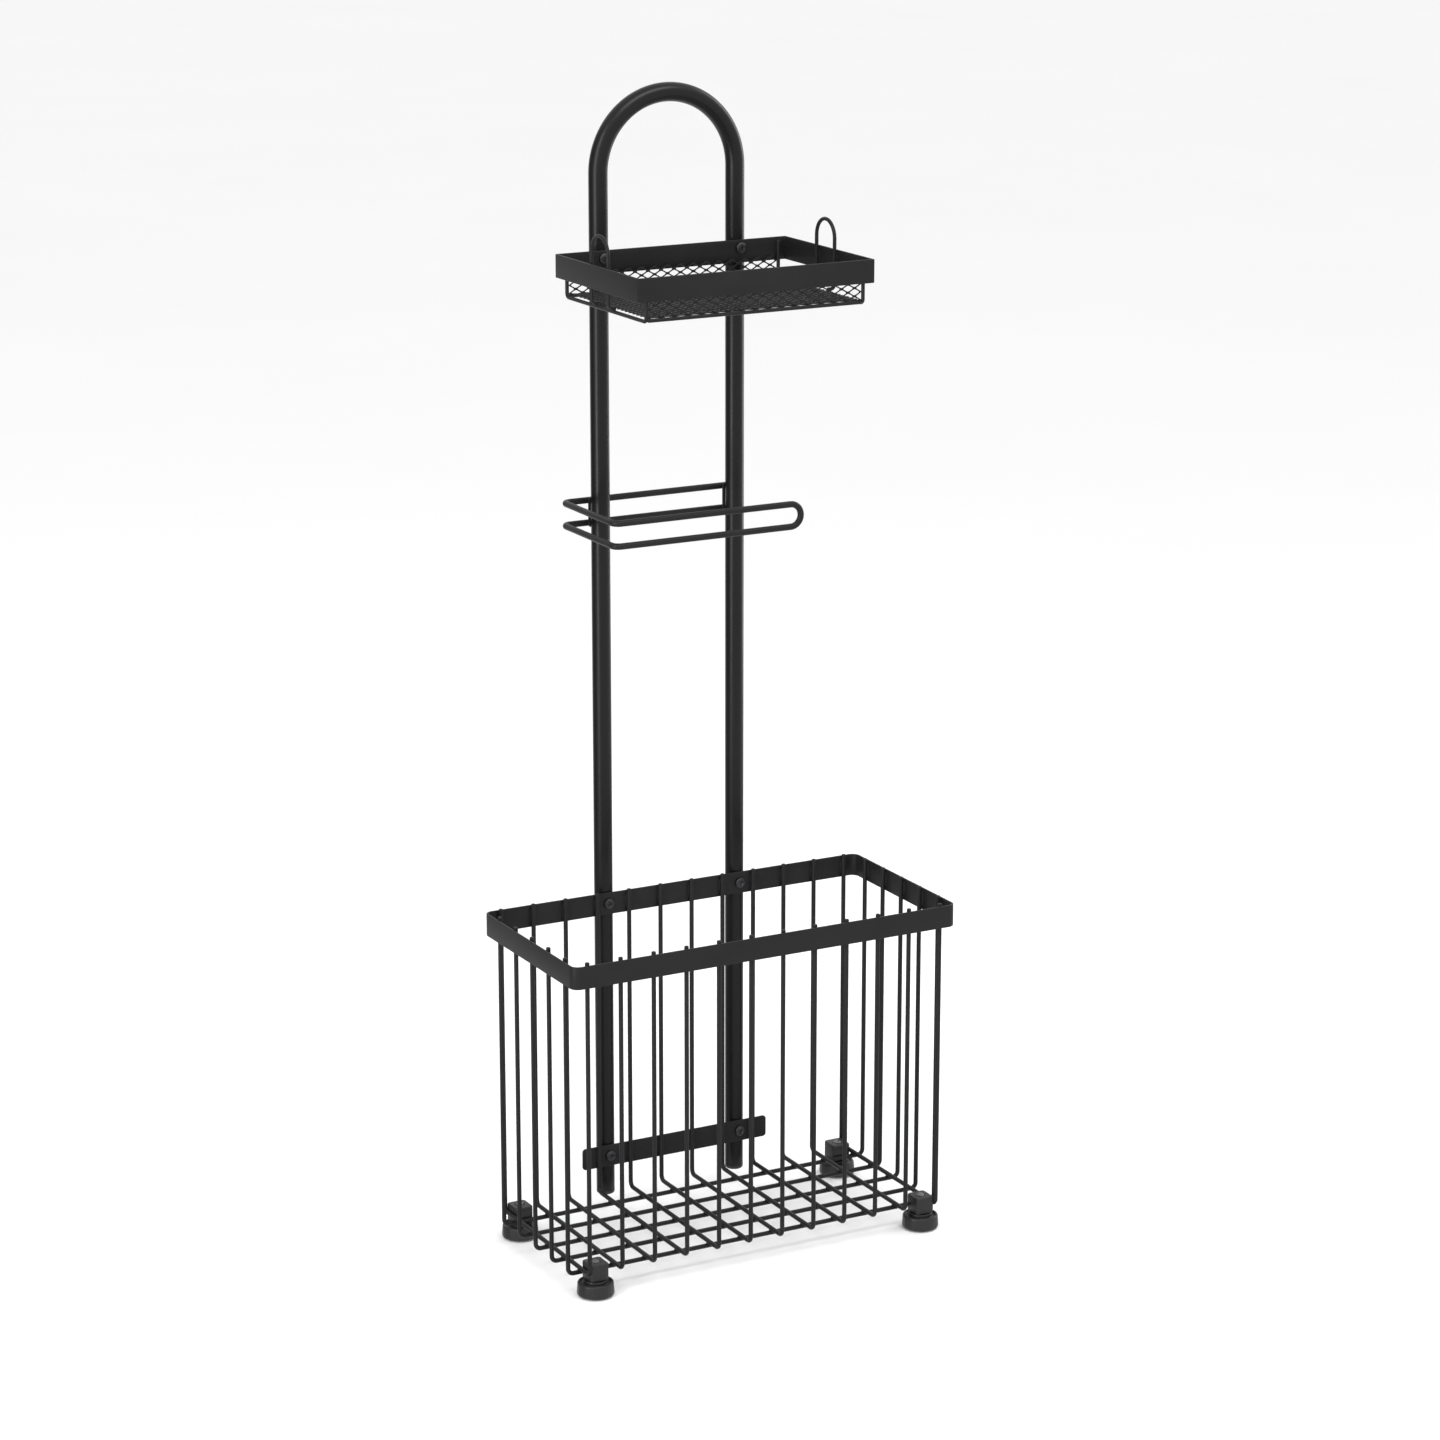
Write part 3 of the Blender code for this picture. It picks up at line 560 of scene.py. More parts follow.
# ---------------------------------------------------------------- finishes
class Finish:
    """A node material under construction."""

    def __init__(self, name):
        self.material = bpy.data.materials.new(name)
        self.material.use_nodes = True
        self.tree = self.material.node_tree
        self.shader = self.tree.nodes["Principled BSDF"]
        self.place = self.node("ShaderNodeTexCoord").outputs["Object"]

    def node(self, kind, **settings):
        """Add a node and set its own settings."""
        made = self.tree.nodes.new(kind)
        for key, value in settings.items():
            setattr(made, key, value)
        return made

    def link(self, output, target):
        """Join an output to an input."""
        self.tree.links.new(output, target)

    def grain(self, scale, detail=2.0, roughness=0.5, stretch=None):
        """A noise between 0 and 1 whose features are 1 / scale metres wide."""
        noise = self.node("ShaderNodeTexNoise")
        noise.inputs["Scale"].default_value = scale
        noise.inputs["Detail"].default_value = detail
        noise.inputs["Roughness"].default_value = roughness
        place = self.place
        if stretch:
            mapping = self.node("ShaderNodeMapping")
            mapping.inputs["Scale"].default_value = stretch
            self.link(self.place, mapping.inputs["Vector"])
            place = mapping.outputs["Vector"]
        self.link(place, noise.inputs["Vector"])
        return noise.outputs["Fac"]

    def spread(self, value, from_low, from_high, to_low, to_high):
        """Map one range of a value to another."""
        mapping = self.node("ShaderNodeMapRange")
        for name, number in zip(("From Min", "From Max", "To Min", "To Max"),
                                (from_low, from_high, to_low, to_high)):
            mapping.inputs[name].default_value = number
        self.link(value, mapping.inputs["Value"])
        return mapping.outputs["Result"]

    def maths(self, operation, first, second):
        """Add, multiply or compare two values; either may be a number."""
        made = self.node("ShaderNodeMath", operation=operation)
        for index, value in enumerate((first, second)):
            if isinstance(value, (int, float)):
                made.inputs[index].default_value = value
            else:
                self.link(value, made.inputs[index])
        return made.outputs["Value"]

    def blend(self, factor, first, second):
        """Mix two colours by a factor; either may be a plain colour."""
        made = self.node("ShaderNodeMix", data_type="RGBA")
        self.link(factor, made.inputs["Factor"])
        for name, value in (("A", first), ("B", second)):
            socket = next(s for s in made.inputs if s.name == name and s.type == "RGBA")
            if isinstance(value, bpy.types.NodeSocket):
                self.link(value, socket)
            else:
                socket.default_value = (*value, 1.0)
        return next(s for s in made.outputs if s.type == "RGBA")

    def edges(self, radius, strength):
        """1 along outer edges and 0 on flat ground, broken up by a grain."""
        bevel = self.node("ShaderNodeBevel", samples=6)
        bevel.inputs["Radius"].default_value = radius
        geometry = self.node("ShaderNodeNewGeometry")
        dot = self.node("ShaderNodeVectorMath", operation="DOT_PRODUCT")
        self.link(bevel.outputs["Normal"], dot.inputs[0])
        self.link(geometry.outputs["Normal"], dot.inputs[1])
        edge = self.spread(dot.outputs["Value"], 0.995, 0.86, 0.0, 1.0)
        patches = self.spread(self.grain(140.0, 3.0, 0.6), 0.35, 0.65, 0.15, 1.0)
        return self.maths("MULTIPLY", self.maths("MULTIPLY", edge, patches), strength)

    def relief(self, height, distance, strength=1.0):
        """Bump the surface by a height."""
        bump = self.node("ShaderNodeBump")
        bump.inputs["Distance"].default_value = distance
        bump.inputs["Strength"].default_value = strength
        self.link(height, bump.inputs["Height"])
        self.link(bump.outputs["Normal"], self.shader.inputs["Normal"])

    def colour(self, value):
        """Give the shader its colour."""
        self.link(value, self.shader.inputs["Base Color"])

    def roughness(self, value):
        """Give the shader its roughness."""
        self.link(value, self.shader.inputs["Roughness"])

    def fixed(self, **values):
        """Set numbers that are the same all over the surface."""
        for name, number in values.items():
            self.shader.inputs[name.replace("_", " ")].default_value = number


def lighter(colour, factor):
    """A colour brought up or down by a factor."""
    return tuple(min(1.0, channel * factor) for channel in colour)


def coat_finish(name, colour, worn, gloss, peel, shine):
    """Powder coat: cloudy tone, fine waviness, a dusting of grain, and polished edges."""
    finish = Finish(name)
    cloud = finish.grain(22.0, 4.0, 0.6)
    grain = finish.grain(2600.0, 2.0, 0.6)
    waves = finish.grain(720.0, 2.0, 0.45)
    wear = finish.edges(0.7 * MM, 0.55)
    cloudy = finish.spread(cloud, 0.3, 0.7, 0.0, 1.0)
    tone = finish.blend(cloudy, lighter(colour, 0.86), lighter(colour, 1.16))
    speck = finish.blend(finish.spread(grain, 0.62, 0.80, 0.0, 0.35), tone, lighter(colour, 1.9))
    finish.colour(finish.blend(wear, speck, worn))
    base = finish.spread(cloud, 0.3, 0.7, gloss - 0.035, gloss + 0.045)
    fine = finish.spread(grain, 0.3, 0.7, -0.03, 0.04)
    polished = finish.maths("MULTIPLY", wear, -0.10)
    finish.roughness(finish.maths("ADD", finish.maths("ADD", base, fine), polished))
    finish.relief(finish.maths("ADD", waves, finish.maths("MULTIPLY", grain, 0.35)), peel)
    finish.fixed(Specular_IOR_Level=shine)
    return finish.material


def moulded_finish(name, colour, gloss):
    """Moulded plastic: an even spark-eroded grain, faint flow clouds, and scuffed edges."""
    finish = Finish(name)
    cloud = finish.grain(60.0, 3.0, 0.55)
    grain = finish.grain(3400.0, 3.0, 0.65)
    wear = finish.edges(0.5 * MM, 0.6)
    cloudy = finish.spread(cloud, 0.3, 0.7, 0.0, 1.0)
    tone = finish.blend(cloudy, lighter(colour, 0.85), lighter(colour, 1.2))
    finish.colour(finish.blend(wear, tone, lighter(colour, 2.6)))
    base = finish.spread(cloud, 0.3, 0.7, gloss - 0.04, gloss + 0.06)
    finish.roughness(finish.maths("ADD", base, finish.spread(grain, 0.3, 0.7, -0.05, 0.07)))
    finish.relief(grain, 0.010 * MM)
    finish.fixed(Specular_IOR_Level=0.45)
    return finish.material


def rubber_finish(name, colour):
    """Soft rubber: matt, dusty in random patches, with a coarse skin."""
    finish = Finish(name)
    dust = finish.grain(300.0, 4.0, 0.7)
    skin = finish.grain(1800.0, 3.0, 0.6)
    finish.colour(finish.blend(finish.spread(dust, 0.45, 0.8, 0.0, 0.6), colour, lighter(colour, 3.2)))
    finish.roughness(finish.spread(dust, 0.3, 0.7, 0.72, 0.92))
    finish.relief(skin, 0.02 * MM)
    finish.fixed(Specular_IOR_Level=0.3)
    return finish.material


def plated_finish(name, colour, gloss, metallic):
    """Plated steel: drawn streaks along the axis, small pits, and bright edges."""
    finish = Finish(name)
    streaks = finish.grain(900.0, 3.0, 0.6, stretch=(1.0, 1.0, 0.15))
    pits = finish.grain(2200.0, 2.0, 0.6)
    wear = finish.edges(0.3 * MM, 0.8)
    streaky = finish.spread(streaks, 0.3, 0.7, 0.0, 1.0)
    tone = finish.blend(streaky, lighter(colour, 0.8), lighter(colour, 1.3))
    finish.colour(finish.blend(wear, tone, lighter(colour, 2.6)))
    finish.roughness(finish.spread(pits, 0.3, 0.7, gloss - 0.06, gloss + 0.10))
    finish.relief(finish.maths("ADD", streaks, pits), 0.006 * MM)
    finish.fixed(Metallic=metallic)
    return finish.material


def floor_finish(name, colour):
    """Pale matt floor with a faint tooth."""
    finish = Finish(name)
    cloud = finish.grain(1.5, 4.0, 0.6)
    tooth = finish.grain(500.0, 3.0, 0.6)
    finish.colour(finish.blend(finish.spread(cloud, 0.3, 0.7, 0.0, 1.0), lighter(colour, 0.985), colour))
    finish.roughness(finish.spread(tooth, 0.3, 0.7, 0.62, 0.74))
    finish.relief(tooth, 0.02 * MM, 0.4)
    finish.fixed(Specular_IOR_Level=0.2)
    return finish.material


def finish_of(slot):
    """The material of one slot of the record, made the first time it is asked for."""
    name = f"holder_{slot}"
    if name in bpy.data.materials:
        return bpy.data.materials[name]
    c = colours()
    makers = {
        PAINT: lambda: coat_finish(name, c.paint, c.paint_worn, c.paint_gloss, c.peel, 0.17),
        "tube_paint": lambda: coat_finish(name, c.tube, c.paint_worn, c.tube_gloss, c.peel / 2, 0.27),
        "foot_plastic": lambda: moulded_finish(name, c.plastic, 0.42),
        "pad_rubber": lambda: rubber_finish(name, c.rubber),
        "screw_black": lambda: plated_finish(name, c.screw, 0.34, 0.85),
        "stud_zinc": lambda: plated_finish(name, c.zinc, 0.36, 1.0),
    }
    return makers[slot]()


# ---------------------------------------------------------------- stand
def tube_path(node):
    """Up the left post, over the arch and down the right post."""
    centre, bottom, top = middle(node), low(node).z, high(node).z
    across = extent(node).x / 2 - TUBE / 2
    crown = top - TUBE / 2 - across
    path = [Vector((-across, centre.y, bottom))]
    path += arc(Vector((0, centre.y, crown)), across, 180, 0, 56, X_AXIS, Z_AXIS)
    path.append(Vector((across, centre.y, bottom)))
    return path


def build_tube():
    """The bent tube with its bore and its eight screw holes."""
    s = sizes()
    path = tube_path("stand_tube")
    headings = directions(path)
    across = carried_sides(headings)
    skins = []
    for radius in (TUBE / 2, TUBE / 2 - TUBE_WALL):
        skins.append([circle(point, side, heading.cross(side), radius, s.tube_sides)
                      for point, side, heading in zip(path, across, headings)])
    form = Form()
    form.add_rings(skins[0] + list(reversed(skins[1])), closed=True)
    mesh = form.mesh("stand_tube_skin")
    inside, reach = 2.0 * MM, 8.0 * MM
    cutters = []
    for stem, direction in SCREW_ROWS.values():
        for side in SIDES:
            centre = middle(f"{stem}_{side}")
            start = Vector((centre.x, middle("stand_tube").y + direction * inside, centre.z))
            cutters.append(rod_mesh(start, start + Y_AXIS * (direction * reach), SCREW_HOLE))
    mesh = carved(mesh, cutters)
    put("bent_tube", mesh, "tube_paint", node="stand_tube")


def build_plugs():
    """The push-in plugs that close the posts' lower ends, each with three grip ribs."""
    for side in SIDES:
        node = f"post_plug_{side}"
        centre = middle(node)
        bottom, top = low(node).z, high(node).z
        rim, bore = extent(node).x / 2, TUBE / 2 - TUBE_WALL - GAP
        core = bore - 0.35 * MM
        shoulder = bottom + 2.7 * MM
        profile = [(0.0, bottom), (rim - 2.6 * MM, bottom + 0.15 * MM),
                   (rim - 1.3 * MM, bottom + 0.05 * MM), (rim - 0.7 * MM, bottom + 0.2 * MM),
                   (rim - 0.2 * MM, bottom + 0.7 * MM), (rim, bottom + 1.4 * MM),
                   (rim, shoulder - 0.2 * MM), (rim - 0.2 * MM, shoulder), (core, shoulder)]
        for rib in range(3):
            foot = shoulder + (0.6 + 2.2 * rib) * MM
            profile += [(core, foot), (bore, foot + 0.5 * MM), (bore, foot + 0.9 * MM),
                        (core, foot + 1.3 * MM)]
        profile += [(bore - 0.9 * MM, top), (0.0, top)]
        form = Form()
        add_turned(form, Vector((centre.x, centre.y, 0)), Z_AXIS, profile, 48)
        put(f"tube_plug_{side}", form.mesh("tube_plug"), "foot_plastic", node=node)


# ---------------------------------------------------------------- basket
def cross_wire_path(node):
    """Down the front, across the floor and up the back."""
    first, last, radius = low(node), high(node), BASKET_WIRE / 2
    x = middle(node).x
    front, back, floor = first.y + radius, last.y - radius, first.z + radius
    corners = [(x, front, last.z), (x, front, floor), (x, back, floor), (x, back, last.z)]
    return filleted(corners, sizes().wire_bend, 8)


def long_wire_path(node):
    """Down the left side, along the floor and up the right side."""
    first, last, radius = low(node), high(node), BASKET_WIRE / 2
    y = middle(node).y
    left, right, floor = first.x + radius, last.x - radius, first.z + radius
    corners = [(left, y, last.z), (left, y, floor), (right, y, floor), (right, y, last.z)]
    return filleted(corners, sizes().wire_bend, 8)


def build_basket_wires():
    """Twelve cross wires and the five long wires under them."""
    s = sizes()
    for nodes, path_of in ((CROSS_WIRES, cross_wire_path), (LONG_WIRES, long_wire_path)):
        for node in nodes:
            put_wire(node, path_of(node), BASKET_WIRE, s.wire_sides, s.wire_end)


def build_basket_rim():
    """The flat-bar rim with round corners and two screw holes."""
    s = sizes()
    form = Form()
    add_rim(form, "basket_rim", BAR, s.basket_corner, s.band_edge, 12)
    mesh = carved(form.mesh("basket_rim_bar"), hole_cutters("basket_rim"))
    put("coated_basket_rim", mesh, PAINT, node="basket_rim")


def build_tie_bar():
    """The flat bar that ties the posts low on the basket's back."""
    node = "basket_tie_bar"
    mesh = carved(plate_mesh(node, 2.5 * MM), hole_cutters("basket_tie"))
    put("coated_tie_bar", mesh, PAINT, node=node)


def add_seam_weld(form, base, out, along, radius, length, stretch=1.0):
    """A fillet between a wire and the flat face under it; base is on the face, below the wire."""
    side = along.cross(out)
    sunk = 0.1 * MM
    steps = 8
    rings = []
    for step in range(steps + 1):
        t = -1.0 + 2.0 * step / steps
        scale = max(0.12, math.sqrt(1.0 - t * t))
        wide = radius * 1.25 * scale * stretch
        toe = GAP * 0.5 + sunk * scale
        tall = GAP + radius * 0.75 * scale
        neck = radius * 0.92 * scale
        section = [(-wide, -sunk), (wide, -sunk), (wide * 0.86, toe), (neck, tall * 0.55),
                   (neck * 0.9, tall), (-neck * 0.9, tall), (-neck, tall * 0.55), (-wide * 0.86, toe)]
        centre = base + along * (t * length / 2)
        rings.append([centre + side * a + out * b for a, b in section])
    form.add_rings(rings)


def add_spot_weld(form, centre, width, height, sides=14):
    """The flash squeezed out where two wires cross."""
    rings = []
    for step in range(1, 8):
        angle = math.pi * step / 8
        size = width / 2 * math.sin(angle) ** 0.7
        level = centre - Z_AXIS * (height / 2 * math.cos(angle))
        rings.append(circle(level, X_AXIS, Y_AXIS, size, sides))
    form.add_rings(rings)


def build_basket_welds():
    """Fillets between the wires and the rim, and spots where the floor wires cross."""
    chance = random.Random(12)
    form = Form()
    rim_low, rim_high = low("basket_rim"), high("basket_rim")
    level = middle("basket_rim").z
    radius = BASKET_WIRE / 2
    seam = extent("basket_rim").z - 3.0 * MM
    places = [(middle(node).x, face, out) for node in CROSS_WIRES
              for face, out in ((rim_low.y + BAR, Y_AXIS), (rim_high.y - BAR, -Y_AXIS))]
    places += [(face, middle(node).y, out) for node in LONG_WIRES
               for face, out in ((rim_low.x + BAR, X_AXIS), (rim_high.x - BAR, -X_AXIS))]
    for x, y, out in places:
        length = seam * chance.uniform(0.86, 1.0)
        base = Vector((x, y, level + chance.uniform(-0.5, 0.5) * MM))
        add_seam_weld(form, base, out, Z_AXIS, radius, length, chance.uniform(0.95, 1.12))
    contact = (low(CROSS_WIRES[0]).z + low(LONG_WIRES[0]).z + BASKET_WIRE) / 2
    for cross in CROSS_WIRES:
        for long in LONG_WIRES:
            width = BASKET_WIRE * chance.uniform(0.86, 1.0)
            centre = Vector((middle(cross).x, middle(long).y, contact))
            add_spot_weld(form, centre, width, 1.5 * MM)
    tie = "basket_tie_bar"
    face = low(tie).y
    for node in CROSS_WIRES:
        x = middle(node).x
        if low(tie).x < x < high(tie).x:
            base = Vector((x, face, middle(tie).z))
            add_seam_weld(form, base, -Y_AXIS, Z_AXIS, radius, 12.5 * MM)
    put("basket_welds", form.mesh("basket_welds", 60.0), PAINT)


# ---------------------------------------------------------------- shelf
def build_shelf_rim():
    """The flat-bar rim with mitred corners."""
    s = sizes()
    form = Form()
    add_rim(form, "shelf_rim", BAR, s.shelf_corner, s.band_edge, 8, s.mitre_groove)
    mesh = carved(form.mesh("shelf_rim_bar"), hole_cutters("shelf"))
    put("coated_shelf_rim", mesh, PAINT, node="shelf_rim")


class BentSheet:
    """Maps a place on the flat shelf sheet to its place on the bent U."""

    def __init__(self, node, thickness, bend, spare):
        first, last = low(node), high(node)
        half = thickness / 2
        front, back = first.y + half, last.y - half
        floor, top = first.z + half, last.z + spare
        corners = [(0, front, top), (0, front, floor), (0, back, floor), (0, back, top)]
        bend_steps = 10
        self.path = filleted(corners, bend, bend_steps)
        self.lengths = [0.0]
        for before, after in zip(self.path, self.path[1:]):
            self.lengths.append(self.lengths[-1] + (after - before).length)
        self.total = self.lengths[-1]
        self.bend_middle = self.lengths[1 + bend_steps // 2]

    def point(self, x, along, lift):
        """The point at an X, a length along the U, and a height off the sheet."""
        along = min(max(along, 0.0), self.total)
        index = 0
        while index < len(self.path) - 2 and self.lengths[index + 1] < along:
            index += 1
        before, after = self.path[index], self.path[index + 1]
        share = (along - self.lengths[index]) / (self.lengths[index + 1] - self.lengths[index])
        place = before.lerp(after, share)
        heading = (after - before).normalized()
        return Vector((x, place.y, place.z)) + X_AXIS.cross(heading) * lift


def sheared(mesh, cuts):
    """A sheet cut off along planes: (point, direction of what falls away) pairs."""
    form = bmesh.new()
    form.from_mesh(mesh)
    for place, away in cuts:
        everything = form.verts[:] + form.edges[:] + form.faces[:]
        bmesh.ops.bisect_plane(form, geom=everything, dist=1e-7, plane_co=place, plane_no=away,
                               clear_outer=True)
    form.to_mesh(mesh)
    form.free()


def build_shelf_mesh():
    """Expanded metal: diamonds with leaning strands, bent into a U and sheared off at the edges."""
    s = sizes()
    node = "shelf_mesh"
    thickness, bend = 1.0 * MM, 0.9 * MM
    sheet = BentSheet(node, thickness, bend, s.diamond_height)
    width = extent(node).x
    columns = round(width / s.diamond_length)
    half_floor = sheet.total / 2 - sheet.bend_middle
    step_x = width / columns
    step_s = half_floor / (round(half_floor / s.diamond_height - 0.5) + 0.5)
    half_x, half_s = step_x / 2, step_s / 2
    inset = s.strand / 2 / (half_x * half_s / math.hypot(half_x, half_s))
    hole_x, hole_s = half_x * (1 - inset), half_s * (1 - inset)
    diamond = [(-1, 0), (-0.5, 0.5), (0, 1), (0.5, 0.5), (1, 0), (0.5, -0.5), (0, -1), (-0.5, -0.5)]
    points, faces, known = [], [], {}

    def vertex(x, along, lift):
        key = (round(x * 1e6), round(along * 1e6), round(lift * 1e6))
        if key not in known:
            known[key] = len(points)
            points.append(sheet.point(x, along, lift))
        return known[key]

    reach = math.floor((sheet.total / 2 - half_s) / step_s)
    centres = [(i, j) for i in range(columns + 1) for j in range(-reach, reach + 1)]
    centres += [(i + 0.5, j + 0.5) for i in range(columns) for j in range(-reach, reach)]
    for i, j in centres:
        x = low(node).x + i * step_x
        along = sheet.total / 2 + j * step_s
        rim = [vertex(x + a * half_x, along + b * half_s, 0.0) for a, b in diamond]
        hole = []
        for a, b in diamond:
            sharpened = 1.15 if a * b == 0 else 1.0
            hole_a, hole_b = a * hole_x * sharpened, b * hole_s * sharpened
            hole.append(vertex(x + hole_a, along + hole_b, b * s.strand_tilt))
        for k in range(8):
            faces.append((rim[k], rim[(k + 1) % 8], hole[(k + 1) % 8], hole[k]))
    mesh = bpy.data.meshes.new("shelf_diamonds")
    mesh.from_pydata([tuple(point) for point in points], [], faces)
    touch = 0.25 * MM
    sheared(mesh, [(low(node) - X_AXIS * touch, -X_AXIS), (high(node) + X_AXIS * touch, X_AXIS),
                   (high(node), Z_AXIS)])
    mesh = settled(mesh, 180.0)
    holder = bpy.data.objects.new("holder", mesh)
    bpy.context.scene.collection.objects.link(holder)
    thickened = holder.modifiers.new("thickened", "SOLIDIFY")
    thickened.thickness = s.strand_thickness
    thickened.offset = 0.0
    softened = holder.modifiers.new("softened", "SUBSURF")
    softened.levels = softened.render_levels = 1
    evaluated = holder.evaluated_get(bpy.context.evaluated_depsgraph_get())
    result = bpy.data.meshes.new_from_object(evaluated)
    bpy.data.objects.remove(holder)
    put("expanded_mesh", settled(result, 70.0), PAINT, node=node)


def end_wire_path(node):
    """Down behind the front band, under the mesh and up behind the back band."""
    first, last, radius = low(node), high(node), SHELF_WIRE / 2
    x = middle(node).x
    front, back, floor = first.y + radius, last.y - radius, first.z + radius
    corners = [(x, front, last.z), (x, front, floor), (x, back, floor), (x, back, last.z)]
    return filleted(corners, sizes().shelf_bend, 8)


def loop_path(node, sign):
    """Foot, leg, crown, leg and foot of a hairpin guard."""
    first, last, radius = low(node), high(node), SHELF_WIRE / 2
    x = (last.x if sign > 0 else first.x) - sign * radius
    toe_x = first.x if sign > 0 else last.x
    front, back = first.y + radius, last.y - radius
    half = (back - front) / 2
    toe, spring = first.z + radius, last.z - radius - half
    leg = filleted([(toe_x, front, toe), (x, front, toe), (x, front, spring)], sizes().shelf_bend, 8)[:-1]
    crown = arc(Vector((x, (front + back) / 2, spring)), half, 180, 0, 24, Y_AXIS, Z_AXIS)
    other = [Vector((p.x, front + back - p.y, p.z)) for p in reversed(leg)]
    return leg + crown + other


def build_shelf_wires():
    """Two end wires, the two wires along the mesh's lower bends, and the guard loops."""
    s = sizes()
    for side, sign in zip(SIDES, (-1, 1)):
        end, loop = f"shelf_end_wire_{side}", f"shelf_loop_{side}"
        put_wire(end, end_wire_path(end), SHELF_WIRE, s.wire_sides, s.wire_end * 0.8)
        put_wire(loop, loop_path(loop, sign), SHELF_WIRE, s.wire_sides, s.wire_end * 0.8)
    for row in ROWS:
        node = f"shelf_edge_wire_{row}"
        centre, half = middle(node), extent(node).x / 2
        steps = 12
        path = [centre + X_AXIS * (half * (2 * step / steps - 1)) for step in range(steps + 1)]
        put_wire(node, path, SHELF_WIRE, s.wire_sides, s.wire_end * 0.5)


def build_shelf_welds():
    """Fillets between the shelf's wires and its rim, and spots where its wires cross."""
    chance = random.Random(7)
    form = Form()
    radius = SHELF_WIRE / 2
    rim_low, rim_high = low("shelf_rim"), high("shelf_rim")
    level = middle("shelf_rim").z
    for side, sign in zip(SIDES, (-1, 1)):
        end = f"shelf_end_wire_{side}"
        x = middle(end).x
        for face, out in ((rim_low.y + BAR, Y_AXIS), (rim_high.y - BAR, -Y_AXIS)):
            base = Vector((x, face, level - 0.5 * MM))
            add_seam_weld(form, base, out, Z_AXIS, radius, 12.0 * MM, chance.uniform(0.95, 1.1))
        loop = f"shelf_loop_{side}"
        face = (rim_high.x if sign > 0 else rim_low.x) - sign * BAR
        for y in (low(loop).y + radius, high(loop).y - radius):
            base = Vector((face, y, level))
            add_seam_weld(form, base, -sign * X_AXIS, Z_AXIS, radius, 13.0 * MM)
            contact = (low(loop).z + low(end).z + SHELF_WIRE) / 2
            add_spot_weld(form, Vector((x, y, contact)), SHELF_WIRE * 0.9, 1.2 * MM)
        for row in ROWS:
            edge = f"shelf_edge_wire_{row}"
            tip = middle(edge) + X_AXIS * (sign * extent(edge).x / 2)
            add_spot_weld(form, tip, SHELF_WIRE * 0.86, SHELF_WIRE * 0.86)
    columns = round(extent("shelf_mesh").x / sizes().diamond_length)
    pitch = extent("shelf_mesh").x / columns
    for row in ROWS:
        edge = f"shelf_edge_wire_{row}"
        inward = GAP if row == "front" else -GAP
        for index in range(1, columns):
            x = low("shelf_mesh").x + index * pitch
            spot = Vector((x, middle(edge).y + inward, high(edge).z))
            add_spot_weld(form, spot, 1.7 * MM, 1.2 * MM, 10)
    put("shelf_welds", form.mesh("shelf_welds", 60.0), PAINT)


# ---------------------------------------------------------------- roll arm
def arm_path():
    """Upper run, hairpin tip and lower run of the open hook."""
    node = "roll_arm"
    first, last, radius = low(node), high(node), ARM_WIRE / 2
    level = middle(node).z
    half = extent(node).z / 2 - radius
    back, front = last.y - radius, first.y + radius
    left, tip = first.x + radius, last.x - radius - half
    overhang = 2.7 * MM
    back_end = high("arm_plate_right").x + overhang
    corners = [(back_end, back, level + half), (left, back, level + half), (left, front, level + half),
               (tip, front, level + half)]
    upper = filleted(corners, sizes().arm_bend, 10)
    hairpin = arc(Vector((tip, front, level)), half, 90, -90, 20, X_AXIS, Z_AXIS)
    lower = [Vector((p.x, p.y, 2 * level - p.z)) for p in reversed(upper)]
    return upper[:-1] + hairpin + lower[1:]


def build_roll_arm():
    """The double-wire hook."""
    put_wire("roll_arm", arm_path(), ARM_WIRE, sizes().wire_sides + 4, 1.0 * MM)


def build_arm_plates():
    """The plates that hold the arm to the posts, and the beads that join them to its wires."""
    half = extent("roll_arm").z / 2 - ARM_WIRE / 2
    welds = Form()
    for side in SIDES:
        node = f"arm_plate_{side}"
        centre = middle(node)
        mesh = carved(plate_mesh(node, 1.8 * MM), [hole_cutter(centre, 4.0 * MM)])
        put(f"coated_{node}", mesh, PAINT, node=node)
        for level in (-half, half):
            base = Vector((centre.x, high(node).y, centre.z + level))
            add_seam_weld(welds, base, Y_AXIS, X_AXIS, ARM_WIRE / 2, extent(node).x - 1.0 * MM)
    put("arm_welds", welds.mesh("arm_welds", 60.0), PAINT)


# ---------------------------------------------------------------- screws
def cross_recess():
    """The cutter for a cross recess, with its mouth at Z = 0 and its point below."""
    rings = []
    for height, reach, width in ((0.4, 2.15, 0.50), (-0.5, 1.55, 0.42), (-1.25, 0.75, 0.30)):
        r, w = reach * MM, width * MM
        outline = [(r, w), (w, w), (w, r), (-w, r), (-w, w), (-r, w), (-r, -w), (-w, -w), (-w, -r),
                   (w, -r), (w, -w), (r, -w)]
        rings.append([Vector((x, y, height * MM)) for x, y in outline])
    form = Form()
    form.add_rings(rings)
    return form.mesh("cross_recess", 20.0)


